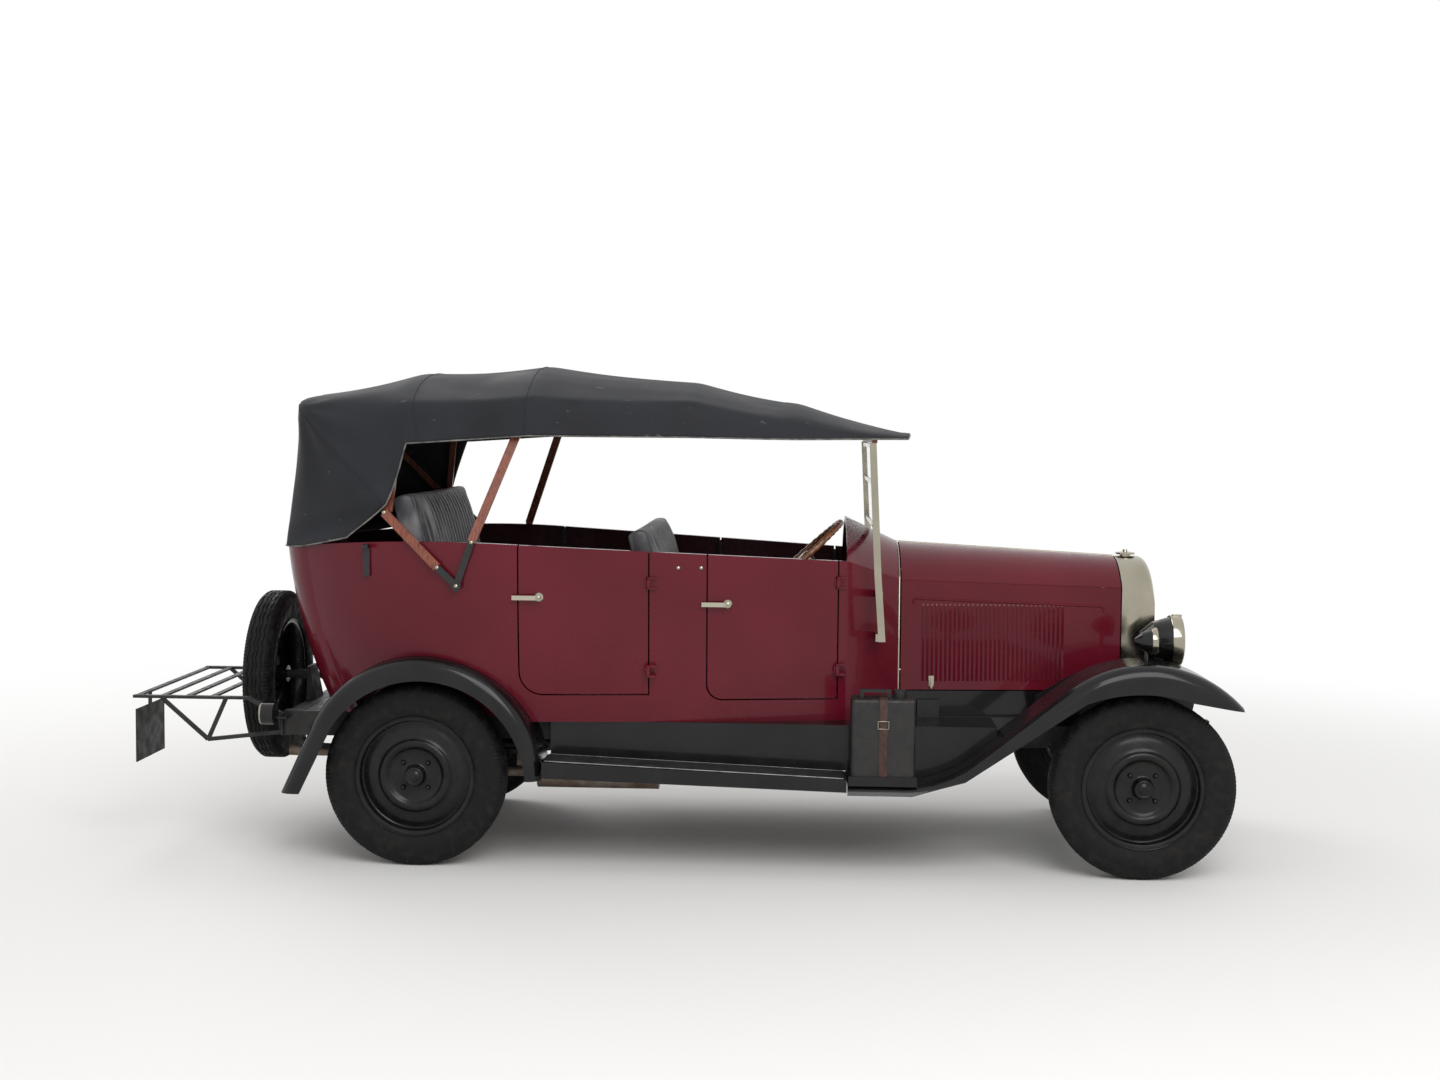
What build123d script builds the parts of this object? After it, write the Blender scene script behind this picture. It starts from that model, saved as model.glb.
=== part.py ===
from build123d import *
import os
from math import cos, radians, sin, sqrt, tan

os.makedirs("parts", exist_ok=True)

# An open touring car of the late 1920s, in millimetres.
# X runs forward, Y to the car's left and Z up from the ground under the middle of its length.

# Overall plan
front_overhang = 365
wheelbase = 2870
rear_overhang = 1215
overall_length = front_overhang + wheelbase + rear_overhang
track = 1230
wing_edge_y = 760
wing_inner_y = 500
front_axle_x = overall_length / 2 - front_overhang
rear_axle_x = front_axle_x - wheelbase
fit_gap = 0.3

# Wheels and tyres
tyre_diameter = 724
tyre_width = 125
rim_seat_diameter = 450
rim_edge_height = 15
rim_width = 112
rim_wall = 6
hub_diameter = 76
spindle_diameter = 36
spindle_end = 30
drum_diameter = 246
drum_depth = 62
drum_wall = 8
hub_z = tyre_diameter / 2
wheel_y = track / 2
rim_seat_r = rim_seat_diameter / 2
drum_mouth = 45
backplate_gap = 5
backplate_thickness = 5
backplate_y = wheel_y - drum_mouth - backplate_gap - backplate_thickness

# Chassis frame
rail_bottom_z = 480
rail_height = 100
rail_width = 50
front_rail_y = 300
rear_rail_y = 420
rail_front_x = front_axle_x + 325
rail_bend_front_x = front_axle_x - 710
rail_bend_rear_x = front_axle_x - 1210
rail_rear_x = rear_axle_x - 590
rail_top_z = rail_bottom_z + rail_height
rail_half = rail_width / 2
cross_member_width = 60

# Axles, springs and steering
kingpin_y = wheel_y - 95
kingpin_diameter = 18
beam_height = 45
beam_width = 44
beam_top_z = 375
boss_radius = 19
boss_height = 60
ear_thickness = 16
ear_gap = 2
upright_thickness = 16
steering_arm_length = 165
steering_arm_width = 16
stud_diameter = 18
track_rod_diameter = 20
axle_tube_diameter = 70
spring_width = 45
spring_thickness = 28
front_spring_half = 305
rear_spring_half = 520
spring_eye_radius = 15
spring_eye_z = 450
main_leaf = 10

# Engine bay and scuttle
bonnet_front_x = front_axle_x - 24
bonnet_length = 913
bonnet_rear_x = bonnet_front_x - bonnet_length
scuttle_length = 223
body_front_x = bonnet_rear_x - scuttle_length
bonnet_bottom_z = 690
panel = 5
end_gap = 5
radiator_depth = 134
radiator_bottom_z = 600
hinge_rod_radius = 6

# Body tub
body_bottom_z = rail_top_z
floor_thickness = 20
body_wall = 32
tail_x = rear_axle_x - 600
drawn_length = 2310
waist_front_z = 1225
waist_rear_z = 1288
waist_tail_z = 1250
door_gap = 6


def behind(distance):
    """The X of a place on the body: its distance behind the scuttle on a body drawn_length long."""
    return body_front_x - distance * (body_front_x - tail_x) / drawn_length


waist_break_x = behind(1273)

# Wings
sheet = 4
front_wing_radius = 495
front_wing_fall = 38.4
front_wing_blend = 450
front_wing_flat_z = 372
front_wing_tail_x = body_front_x + 5
front_wing_round = 55
rear_wing_radius = 478
rear_wing_offset_x = 35
rear_wing_round = 50
board_rear_x = rear_axle_x + rear_wing_offset_x + rear_wing_radius + 7

# Hood
canvas = 8
hood_skirt_z = 1716


def mirrored(piece):
    """The same piece on the other side of the car."""
    return mirror(piece, about=Plane.XZ)


def export_pair(piece, name):
    """Write a left-hand piece, and its mirror image as the right-hand one."""
    for side, solid in (("left", piece), ("right", mirrored(piece))):
        solid.label = f"{name}_{side}"
        export_step(solid, f"parts/{name}_{side}.step")


def bar_plane(start, end):
    """A plane at start that faces end, with its X axis level across the run."""
    run = Vector(*end) - Vector(*start)
    across = Vector(0, 0, 1).cross(run)
    if across.length < 1:
        across = Vector(1, 0, 0)
    return Plane(origin=start, x_dir=across.normalized(), z_dir=run.normalized())


def run_length(start, end):
    return (Vector(*end) - Vector(*start)).length


def wheel_plane(x, y, z=hub_z):
    """A plane through an axle: its X axis points out of the car's left, its Y axis up."""
    return Plane(origin=(x, y, z), x_dir=(0, 1, 0), z_dir=(1, 0, 0))


def spin_axis(x, z=hub_z):
    return Axis((x, 0, z), (0, 1, 0))


# Tyres: tubular section from the rim's seat to the tread
tyre_r = tyre_diameter / 2
bead_r = rim_seat_r + fit_gap
bead_half = rim_width / 2 - rim_wall - fit_gap
tyre_rows = (
    # half width of the section, radius; the walls are straight between them
    (bead_half, bead_r),
    (bead_half, bead_r + rim_edge_height + 1),
    (tyre_width / 2, rim_seat_r + 48),
    (tyre_width / 2, tyre_r - 50),
    (tyre_width / 2 - 11, tyre_r - 14),
    (tyre_width / 2 - 25, tyre_r),
)


def tyre(plane, axis):
    with BuildPart() as casing:
        with BuildSketch(plane):
            with BuildLine():
                Polyline(*tyre_rows, *((-half, radius) for half, radius in reversed(tyre_rows)), close=True)
            make_face()
        revolve(axis=axis)
    return casing.part


# Disc wheels: rolled rim, dished steel disc, hub and brake drum turned as one
hub_r = hub_diameter / 2
spindle_r = spindle_diameter / 2
drum_r = drum_diameter / 2
rim_half = rim_width / 2
disc_sheet = 6
disc_rows = (
    # across from the tyre's middle, radius
    (14, rim_seat_r - rim_wall + 1),
    (24, 180),
    (30, 150),
    (44, 136),
    (44, 120),
    (30, 104),
    (26, hub_r - 4),
)
hub_face = 72
hub_rows = (
    # across from the tyre's middle, radius
    (5 - drum_mouth, spindle_r + fit_gap),
    (5 - drum_mouth, hub_r),
    (hub_face - 12, hub_r),
    (hub_face, hub_r - 8),
    (hub_face, 0),
    (spindle_end + 4, 0),
    (spindle_end + 4, spindle_r + fit_gap),
)


def wheel(plane, axis, with_drum):
    with BuildPart() as disc:
        with BuildSketch(plane):
            with BuildLine():
                Polyline(
                    (-rim_half, rim_seat_r + rim_edge_height),
                    (-rim_half + rim_wall, rim_seat_r + rim_edge_height),
                    (-rim_half + rim_wall, rim_seat_r),
                    (rim_half - rim_wall, rim_seat_r),
                    (rim_half - rim_wall, rim_seat_r + rim_edge_height),
                    (rim_half, rim_seat_r + rim_edge_height),
                    (rim_half, rim_seat_r - rim_wall),
                    (-rim_half, rim_seat_r - rim_wall),
                    close=True,
                )
            make_face()
        revolve(axis=axis)
        with BuildSketch(plane):
            with BuildLine():
                Polyline(
                    *disc_rows,
                    *((across - disc_sheet, radius) for across, radius in reversed(disc_rows)),
                    close=True,
                )
            make_face()
        revolve(axis=axis)
        with BuildSketch(plane):
            with BuildLine():
                Polyline(*hub_rows, close=True)
            make_face()
        revolve(axis=axis)
        if with_drum:
            with BuildSketch(plane):
                with BuildLine():
                    Polyline(
                        (-drum_mouth, drum_r),
                        (drum_depth - drum_mouth, drum_r),
                        (drum_depth - drum_mouth, hub_r - 1),
                        (drum_depth - drum_mouth - drum_wall, hub_r - 1),
                        (drum_depth - drum_mouth - drum_wall, drum_r - drum_wall),
                        (-drum_mouth, drum_r - drum_wall),
                        close=True,
                    )
                make_face()
            revolve(axis=axis)
    return disc.part


for place, axle_x in (("front", front_axle_x), ("rear", rear_axle_x)):
    export_pair(tyre(wheel_plane(axle_x, wheel_y), spin_axis(axle_x)), f"tyre_{place}")
    export_pair(wheel(wheel_plane(axle_x, wheel_y), spin_axis(axle_x), True), f"wheel_{place}")

# The spare stands upright across the tail, its outer face to the rear
spare_x = rear_axle_x - 740
spare_z = 670
spare_plane = Plane(origin=(spare_x, 0, spare_z), x_dir=(-1, 0, 0), z_dir=(0, 1, 0))
spare_axis = Axis((spare_x, 0, spare_z), (1, 0, 0))
spare_tyre = tyre(spare_plane, spare_axis)
spare_tyre.label = "spare_tyre"
export_step(spare_tyre, "parts/spare_tyre.step")
spare_wheel = wheel(spare_plane, spare_axis, False)
spare_wheel.label = "spare_wheel"
export_step(spare_wheel, "parts/spare_wheel.step")

# Chassis frame: two channel rails, narrow in front, cross members and the spare's carrier
member_xs = (
    rail_front_x - 60,
    front_axle_x - 160,
    front_axle_x - 650,
    rail_bend_rear_x - 50,
    rear_axle_x + 860,
    rear_axle_x + 260,
    rail_rear_x + 30,
)
member_inset = 10
carrier_plate = 12
carrier_half = 60
carrier_top_z = spare_z + 40
with BuildPart() as chassis_frame:
    with BuildSketch(Plane.XY.offset(rail_bottom_z)):
        with BuildLine():
            Polyline(
                (rail_front_x, front_rail_y - rail_half),
                (rail_bend_front_x, front_rail_y - rail_half),
                (rail_bend_rear_x, rear_rail_y - rail_half),
                (rail_rear_x, rear_rail_y - rail_half),
                (rail_rear_x, rear_rail_y + rail_half),
                (rail_bend_rear_x, rear_rail_y + rail_half),
                (rail_bend_front_x, front_rail_y + rail_half),
                (rail_front_x, front_rail_y + rail_half),
                close=True,
            )
        make_face()
    extrude(amount=rail_height)
    mirror(about=Plane.XZ)
    for x in member_xs:
        inner = front_rail_y if x > rail_bend_front_x else rear_rail_y
        with Locations((x, 0, rail_bottom_z + rail_height / 2)):
            Box(cross_member_width, 2 * inner - rail_half, rail_height - 2 * member_inset)
    with BuildSketch(Plane.XZ):
        with BuildLine():
            Polyline(
                (rail_rear_x, rail_bottom_z + 2 * member_inset),
                (rail_rear_x + 30, rail_bottom_z + 2 * member_inset),
                (rail_rear_x + 30, rail_top_z - 2 * member_inset),
                (rail_rear_x, carrier_top_z),
                (rail_rear_x - carrier_plate, carrier_top_z),
                (rail_rear_x - carrier_plate, rail_bottom_z + 2 * member_inset),
                close=True,
            )
        make_face()
    extrude(amount=carrier_half, both=True)
    with Locations(Location((rail_rear_x - carrier_plate, 0, spare_z), (0, -90, 0))):
        Cylinder(
            spindle_r,
            rail_rear_x - carrier_plate - spare_x + 20,
            align=(Align.CENTER, Align.CENTER, Align.MIN),
        )
chassis_frame.part.label = "chassis_frame"
export_step(chassis_frame.part, "parts/chassis_frame.step")

# Front axle beam with an eye at each end for the kingpin
with BuildPart() as front_axle:
    with Locations((front_axle_x, 0, beam_top_z - beam_height / 2)):
        Box(beam_width, 2 * (kingpin_y - boss_radius - 4), beam_height)
    for hand in (1, -1):
        with Locations((front_axle_x, hand * kingpin_y, hub_z)):
            Cylinder(boss_radius, boss_height)
        with Locations((front_axle_x, hand * (kingpin_y - boss_radius), hub_z)):
            Box(boss_radius + 11, boss_radius + 7, beam_height - 6)
        with Locations((front_axle_x, hand * kingpin_y, hub_z)):
            Cylinder(kingpin_diameter / 2 + fit_gap, boss_height, mode=Mode.SUBTRACT)
front_axle.part.label = "front_axle"
export_step(front_axle.part, "parts/front_axle.step")

# Steering knuckles: a fork round the beam's eye, the kingpin, the stub axle and a rearward arm
ear_low_z = hub_z - boss_height / 2 - ear_gap - ear_thickness
ear_high_z = hub_z + boss_height / 2 + ear_gap
ear_r = boss_radius + 3
arm_z = ear_low_z - steering_arm_width
stud_x = front_axle_x - steering_arm_length
stud_length = 24
rod_z = arm_z - stud_length / 2
rod_eye_height = 16
backplate_r = drum_r - 4
with BuildPart() as knuckle:
    for z in (ear_low_z, ear_high_z):
        with Locations((front_axle_x, kingpin_y, z)):
            Cylinder(ear_r, ear_thickness, align=(Align.CENTER, Align.CENTER, Align.MIN))
            Box(
                2 * ear_r,
                backplate_y - kingpin_y,
                ear_thickness,
                align=(Align.CENTER, Align.MIN, Align.MIN),
            )
    with Locations((front_axle_x, backplate_y, hub_z)):
        Box(
            50,
            upright_thickness,
            boss_height + 2 * (ear_gap + ear_thickness),
            align=(Align.CENTER, Align.MAX, Align.CENTER),
        )
    with Locations((front_axle_x, kingpin_y, ear_low_z)):
        Cylinder(
            kingpin_diameter / 2,
            ear_high_z + ear_thickness - ear_low_z,
            align=(Align.CENTER, Align.CENTER, Align.MIN),
        )
    with Locations(Location((front_axle_x, backplate_y, hub_z), (-90, 0, 0))):
        Cylinder(backplate_r, backplate_thickness, align=(Align.CENTER, Align.CENTER, Align.MIN))
        Cylinder(
            spindle_r,
            wheel_y - backplate_y + spindle_end,
            align=(Align.CENTER, Align.CENTER, Align.MIN),
        )
    with Locations((front_axle_x + 15, kingpin_y, ear_low_z)):
        Box(
            steering_arm_length + 15,
            steering_arm_width,
            steering_arm_width,
            align=(Align.MAX, Align.CENTER, Align.MAX),
        )
    with Locations((stud_x, kingpin_y, arm_z + steering_arm_width)):
        Cylinder(14, steering_arm_width, align=(Align.CENTER, Align.CENTER, Align.MAX))
    with Locations((stud_x, kingpin_y, arm_z)):
        Cylinder(stud_diameter / 2, stud_length, align=(Align.CENTER, Align.CENTER, Align.MAX))
export_pair(knuckle.part, "knuckle")

# Track rod between the two steering arms
with BuildPart() as track_rod:
    with Locations(Location((stud_x, 0, rod_z), (90, 0, 0))):
        Cylinder(track_rod_diameter / 2, 2 * (kingpin_y - 8))
    with Locations((stud_x, kingpin_y, rod_z), (stud_x, -kingpin_y, rod_z)):
        Cylinder(stud_diameter / 2 + 6, rod_eye_height)
        Cylinder(stud_diameter / 2 + fit_gap, stud_length, mode=Mode.SUBTRACT)
track_rod.part.label = "track_rod"
export_step(track_rod.part, "parts/track_rod.step")

# Rear axle: tube, final-drive housing, brake backplates, stub shafts and spring saddles
saddle_z = 402
housing_r = 118
housing_neck_r = 40
housing_half = 130
with BuildPart() as rear_axle:
    with Locations(Location((rear_axle_x, 0, hub_z), (90, 0, 0))):
        Cylinder(axle_tube_diameter / 2, 2 * backplate_y)
        Cylinder(spindle_r, 2 * (wheel_y + spindle_end))
    with BuildSketch(wheel_plane(rear_axle_x, 0)):
        with BuildLine():
            Polyline(
                (-housing_half, 0),
                (-housing_half, housing_neck_r),
                (-housing_half / 2, housing_r),
                (housing_half / 2, housing_r),
                (housing_half, housing_neck_r),
                (housing_half, 0),
                close=True,
            )
        make_face()
    revolve(axis=spin_axis(rear_axle_x))
    for y, angle in ((backplate_y, -90), (-backplate_y, 90)):
        with Locations(Location((rear_axle_x, y, hub_z), (angle, 0, 0))):
            Cylinder(backplate_r, backplate_thickness, align=(Align.CENTER, Align.CENTER, Align.MIN))
    with Locations((rear_axle_x, rear_rail_y, hub_z), (rear_axle_x, -rear_rail_y, hub_z)):
        Box(90, spring_width, saddle_z - hub_z, align=(Align.CENTER, Align.CENTER, Align.MIN))
rear_axle.part.label = "rear_axle"
export_step(rear_axle.part, "parts/rear_axle.step")

# Leaf springs: half-elliptic stacks, eyes and hangers that reach the rails
spring_rows = (
    # axle x, rail y, half length, height of the spring's seat
    (front_axle_x, front_rail_y, front_spring_half, beam_top_z),
    (rear_axle_x, rear_rail_y, rear_spring_half, saddle_z),
)
with BuildPart() as leaf_springs:
    for axle_x, rail_y, half, seat_z in spring_rows:
        low_z = spring_eye_z - spring_eye_radius
        high_z = low_z + main_leaf
        with BuildSketch(Plane.XZ.offset(-rail_y)):
            with BuildLine():
                ThreePointArc((axle_x - half, low_z), (axle_x, seat_z), (axle_x + half, low_z))
                Line((axle_x + half, low_z), (axle_x + half, high_z))
                ThreePointArc(
                    (axle_x + half, high_z),
                    (axle_x, seat_z + spring_thickness),
                    (axle_x - half, high_z),
                )
                Line((axle_x - half, high_z), (axle_x - half, low_z))
            make_face()
        extrude(amount=spring_width / 2, both=True)
        for x in (axle_x - half, axle_x + half):
            with Locations(Location((x, rail_y, spring_eye_z), (90, 0, 0))):
                Cylinder(spring_eye_radius, spring_width)
            with Locations((x, rail_y, spring_eye_z)):
                Box(
                    main_leaf + 8,
                    spring_width,
                    rail_bottom_z - spring_eye_z,
                    align=(Align.CENTER, Align.CENTER, Align.MIN),
                )
    mirror(about=Plane.XZ)
leaf_springs.part.label = "leaf_springs"
export_step(leaf_springs.part, "parts/leaf_springs.step")

# Engine and gearbox as plain blocks on the cross members
engine_front_x = bonnet_front_x - 96
engine_top_z = 1030
member_top_z = rail_top_z - member_inset
engine_rows = (
    # distance behind the engine's front, length, width, bottom z, top z: block, sump, clutch, gearbox
    (0, 580, 340, member_top_z, engine_top_z),
    (100, 380, 240, member_top_z - 150, member_top_z),
    (580, 140, 300, 450, 750),
    (720, 220, 200, 450, member_top_z + 2),
)
engine_rear_x = engine_front_x - engine_rows[0][1]
gearbox_rear_x = engine_front_x - engine_rows[3][0] - engine_rows[3][1]
with BuildPart() as engine_block:
    for setback, length, width, low_z, high_z in engine_rows:
        with Locations((engine_front_x - setback, 0, low_z)):
            Box(length, width, high_z - low_z, align=(Align.MAX, Align.CENTER, Align.MIN))
engine_block.part.label = "engine_block"
export_step(engine_block.part, "parts/engine_block.step")

# Propeller shaft from the gearbox to the final drive
shaft_start = (gearbox_rear_x - 2, 0, 466)
shaft_end = (rear_axle_x + housing_r, 0, hub_z + 10)
shaft_r = 24
with BuildPart() as propeller_shaft:
    with BuildSketch(bar_plane(shaft_start, shaft_end)):
        Circle(shaft_r)
    extrude(amount=run_length(shaft_start, shaft_end))
propeller_shaft.part.label = "propeller_shaft"
export_step(propeller_shaft.part, "parts/propeller_shaft.step")


# Bonnet and scuttle: arched sections across the car
def arch(x, foot_y, foot_z, shoulder_y, shoulder_z, crown_z, inset=0):
    with BuildSketch(Plane.YZ.offset(x)) as section:
        with BuildLine():
            Polyline(
                (shoulder_y - inset, shoulder_z - inset),
                (foot_y - inset, foot_z),
                (inset - foot_y, foot_z),
                (inset - shoulder_y, shoulder_z - inset),
            )
            ThreePointArc(
                (inset - shoulder_y, shoulder_z - inset),
                (0, crown_z - inset),
                (shoulder_y - inset, shoulder_z - inset),
            )
        make_face()
    return section.sketch


front_shoulder = (240, 1116)
front_crown_z = 1230
front_foot_y = 250
rear_shoulder = (300, 1143)
rear_crown_z = 1280
rear_foot_y = 330
dash_shoulder = (478, 1227)
dash_crown_z = 1385
dash_foot_y = 455


def bonnet_arches(inset):
    return [
        arch(bonnet_rear_x, rear_foot_y, body_bottom_z, *rear_shoulder, rear_crown_z, inset),
        arch(bonnet_front_x, front_foot_y, body_bottom_z, *front_shoulder, front_crown_z, inset),
    ]


def scuttle_arches(inset):
    return [
        arch(body_front_x, dash_foot_y, body_bottom_z, *dash_shoulder, dash_crown_z, inset),
        arch(bonnet_rear_x, rear_foot_y, body_bottom_z, *rear_shoulder, rear_crown_z, inset),
    ]


scuttle_wall = 16
bulkhead = 14
steering_y = -225
column_lean = (-0.68, 0, 0.733)
wheel_centre = (body_front_x - 175, steering_y, 1228)
column_diameter = 38
column_hole_r = column_diameter / 2 + 5
box_drop = 760
column_foot = tuple(c - box_drop * d for c, d in zip(wheel_centre, column_lean))
with BuildPart() as scuttle:
    loft(scuttle_arches(0))
    loft(scuttle_arches(scuttle_wall), mode=Mode.SUBTRACT)
    extrude(
        arch(bonnet_rear_x - bulkhead, rear_foot_y, body_bottom_z, *rear_shoulder, rear_crown_z, 2),
        amount=bulkhead,
    )
    with BuildSketch(bar_plane(column_foot, wheel_centre)):
        Circle(column_hole_r)
    extrude(amount=box_drop, mode=Mode.SUBTRACT)
scuttle.part.label = "scuttle"
export_step(scuttle.part, "parts/scuttle.step")

# Dash panel across the back of the scuttle
dash_thickness = 14
dash_bottom_z = 1120
dash_setback = 30
with BuildPart() as dash_panel:
    loft(scuttle_arches(scuttle_wall + fit_gap))
    with Locations((body_front_x + dash_setback, 0, dash_bottom_z)):
        Box(
            dash_thickness,
            3 * dash_foot_y,
            dash_crown_z - dash_bottom_z,
            align=(Align.CENTER, Align.CENTER, Align.MIN),
            mode=Mode.INTERSECT,
        )
    with BuildSketch(bar_plane(column_foot, wheel_centre)):
        Circle(column_hole_r)
    extrude(amount=box_drop, mode=Mode.SUBTRACT)
dash_panel.part.label = "dash_panel"
export_step(dash_panel.part, "parts/dash_panel.step")

# Bonnet: two top panels on a rod along the crown, each with a louvred side panel
crease_gap = 0.8
crown_gap = hinge_rod_radius + 0.8
louvre_count = 32
louvre_pitch = 18.5
louvre_width = 11
louvre_lift = 5
louvre_low_z = 722
louvre_high_z = 1045
louvre_slope = 14
louvre_first_x = bonnet_rear_x + 92
ridge_ends = ((bonnet_rear_x + 60, 1064), (bonnet_front_x - 80, 1036))
ridge_width = 12
ridge_lift = 4


def crease_z(x):
    share = (x - bonnet_rear_x) / bonnet_length
    return rear_shoulder[1] + share * (front_shoulder[1] - rear_shoulder[1])


def bonnet_side_y(x, z):
    """The outside of the bonnet's side: its distance from the car's middle at a place."""
    share = (x - bonnet_rear_x) / bonnet_length
    foot_y = rear_foot_y + share * (front_foot_y - rear_foot_y)
    shoulder_y = rear_shoulder[0] + share * (front_shoulder[0] - rear_shoulder[0])
    rise = (z - body_bottom_z) / (crease_z(x) - body_bottom_z)
    return foot_y + rise * (shoulder_y - foot_y)


def bonnet_panel(rear_low_z, front_low_z, rear_high_z, front_high_z):
    """The left half of the bonnet's skin between a lower and an upper line."""
    rear_x = bonnet_rear_x + end_gap
    front_x = bonnet_front_x - end_gap
    with BuildPart(mode=Mode.PRIVATE) as skin:
        loft(bonnet_arches(0))
        loft(bonnet_arches(panel), mode=Mode.SUBTRACT)
        with BuildSketch(Plane.XZ.offset(-crown_gap)):
            with BuildLine():
                Polyline(
                    (rear_x, rear_low_z),
                    (front_x, front_low_z),
                    (front_x, front_high_z),
                    (rear_x, rear_high_z),
                    close=True,
                )
            make_face()
        extrude(amount=-2 * rear_foot_y, mode=Mode.INTERSECT)
    return skin.part


def louvre_section(x, z):
    """A louvre's section at a height: it rises from the panel towards its open rear edge."""
    near_y = bonnet_side_y(x, z)
    with BuildSketch(Plane.XY.offset(z)) as section:
        with BuildLine():
            Polyline(
                (x, near_y - 1),
                (x + louvre_width, bonnet_side_y(x + louvre_width, z) - 1),
                (x, near_y + louvre_lift),
                close=True,
            )
        make_face()
    return section.sketch


def louvre_envelope(x):
    """The room that the louvres fill at a place along the bonnet, its ends sloped into the panel."""
    low_y = bonnet_side_y(x, louvre_low_z)
    high_y = bonnet_side_y(x, louvre_high_z)
    with BuildSketch(Plane.YZ.offset(x)) as section:
        with BuildLine():
            Polyline(
                (low_y - 2, louvre_low_z),
                (low_y + louvre_lift + 1, louvre_low_z + louvre_slope),
                (high_y + louvre_lift + 1, louvre_high_z - louvre_slope),
                (high_y - 2, louvre_high_z),
                close=True,
            )
        make_face()
    return section.sketch


def louvres():
    """A row of pressed louvres, each open to the rear."""
    last_x = louvre_first_x + (louvre_count - 1) * louvre_pitch
    with BuildPart(mode=Mode.PRIVATE) as row:
        for i in range(louvre_count):
            x = louvre_first_x + i * louvre_pitch
            loft([louvre_section(x, louvre_low_z), louvre_section(x, louvre_high_z)], ruled=True)
        loft(
            [louvre_envelope(louvre_first_x - 2), louvre_envelope(last_x + louvre_width + 2)],
            ruled=True,
            mode=Mode.INTERSECT,
        )
    return row.part


def bonnet_ridge():
    """The raised moulding over the louvres, with its ends turned down."""
    (rear_x, rear_z), (front_x, front_z) = ridge_ends
    route = ((rear_x - 8, rear_z - 22), (rear_x, rear_z), (front_x, front_z), (front_x + 8, front_z - 22))
    with BuildPart(mode=Mode.PRIVATE) as ridge:
        for (start_x, start_z), (end_x, end_z) in zip(route, route[1:]):
            start = (start_x, bonnet_side_y(start_x, start_z), start_z)
            end = (end_x, bonnet_side_y(end_x, end_z), end_z)
            run = Vector(*end) - Vector(*start)
            outward = Vector(0, 1, 0)
            outward = outward - run.normalized() * outward.dot(run.normalized())
            face = Plane(origin=start, x_dir=outward, z_dir=run.normalized())
            with BuildSketch(face):
                with BuildLine():
                    Polyline(
                        (-1, -ridge_width / 2),
                        (ridge_lift, -ridge_width / 5),
                        (ridge_lift, ridge_width / 5),
                        (-1, ridge_width / 2),
                        close=True,
                    )
                make_face()
            extrude(amount=run.length)
    return ridge.part


crease_rear_z = crease_z(bonnet_rear_x + end_gap) - panel
crease_front_z = crease_z(bonnet_front_x - end_gap) - panel
bonnet_top = bonnet_panel(
    crease_rear_z + crease_gap / 2, crease_front_z + crease_gap / 2, rear_crown_z + 50, rear_crown_z + 50
)
export_pair(bonnet_top, "bonnet_top")

with BuildPart() as bonnet_side:
    add(
        bonnet_panel(
            bonnet_bottom_z,
            bonnet_bottom_z,
            crease_rear_z - crease_gap / 2,
            crease_front_z - crease_gap / 2,
        )
    )
    add(louvres())
    add(bonnet_ridge())
export_pair(bonnet_side.part, "bonnet_side")

rod_start = (bonnet_rear_x + 2 * fit_gap, 0, rear_crown_z - panel / 2)
rod_end = (bonnet_front_x - 2 * fit_gap, 0, front_crown_z - panel / 2)
with BuildPart() as bonnet_hinge_rod:
    with BuildSketch(bar_plane(rod_start, rod_end)):
        Circle(hinge_rod_radius)
    extrude(amount=run_length(rod_start, rod_end))
bonnet_hinge_rod.part.label = "bonnet_hinge_rod"
export_step(bonnet_hinge_rod.part, "parts/bonnet_hinge_rod.step")

# Radiator: bright shell round a dark core, with the filler cap on top
shell_border = 42
shell_round = 40
cap_x = bonnet_front_x + 50
cap_rows = (
    # radius, height over the crown: neck, flat disc and knob
    (22, -8),
    (22, 4),
    (41, 7),
    (41, 14),
    (11, 18),
    (9, 27),
    (0, 27),
    (0, -8),
)
core_inset = shell_border + fit_gap


def radiator_outline(x, inset):
    return arch(
        x,
        front_foot_y - inset,
        radiator_bottom_z + inset,
        front_shoulder[0] - inset,
        front_shoulder[1] - inset,
        front_crown_z - 2 * inset,
    )


with BuildPart() as radiator_shell:
    extrude(radiator_outline(bonnet_front_x, 0), amount=radiator_depth)
    front_edges = radiator_shell.faces().sort_by(Axis.X)[-1].edges()
    fillet(front_edges.filter_by(GeomType.CIRCLE), shell_round)
    extrude(
        radiator_outline(bonnet_front_x, shell_border),
        amount=radiator_depth,
        mode=Mode.SUBTRACT,
    )
    with BuildSketch(Plane(origin=(cap_x, 0, front_crown_z), x_dir=(1, 0, 0), z_dir=(0, -1, 0))):
        with BuildLine():
            Polyline(*cap_rows, close=True)
        make_face()
    revolve(axis=Axis((cap_x, 0, 0), (0, 0, 1)))
radiator_shell.part.label = "radiator_shell"
export_step(radiator_shell.part, "parts/radiator_shell.step")

with BuildPart() as radiator_core:
    extrude(radiator_outline(bonnet_front_x + 10, core_inset), amount=radiator_depth - 30)
radiator_core.part.label = "radiator_core"
export_step(radiator_core.part, "parts/radiator_core.step")

# Body tub: plan outlines at three heights, hollowed, with its wheelhouses
body_levels = (
    # height, half-width at the front, at the pillar, at the widest, at the tail, tail's x
    (body_bottom_z, dash_foot_y, 560, 625, 430, tail_x + 190),
    (930, 468, 588, 690, 445, tail_x + 62),
    (1310, 480, 606, 710, 452, tail_x),
)
pillar_x = behind(670)
wide_x = behind(1340)
tail_corner = 120


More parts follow.
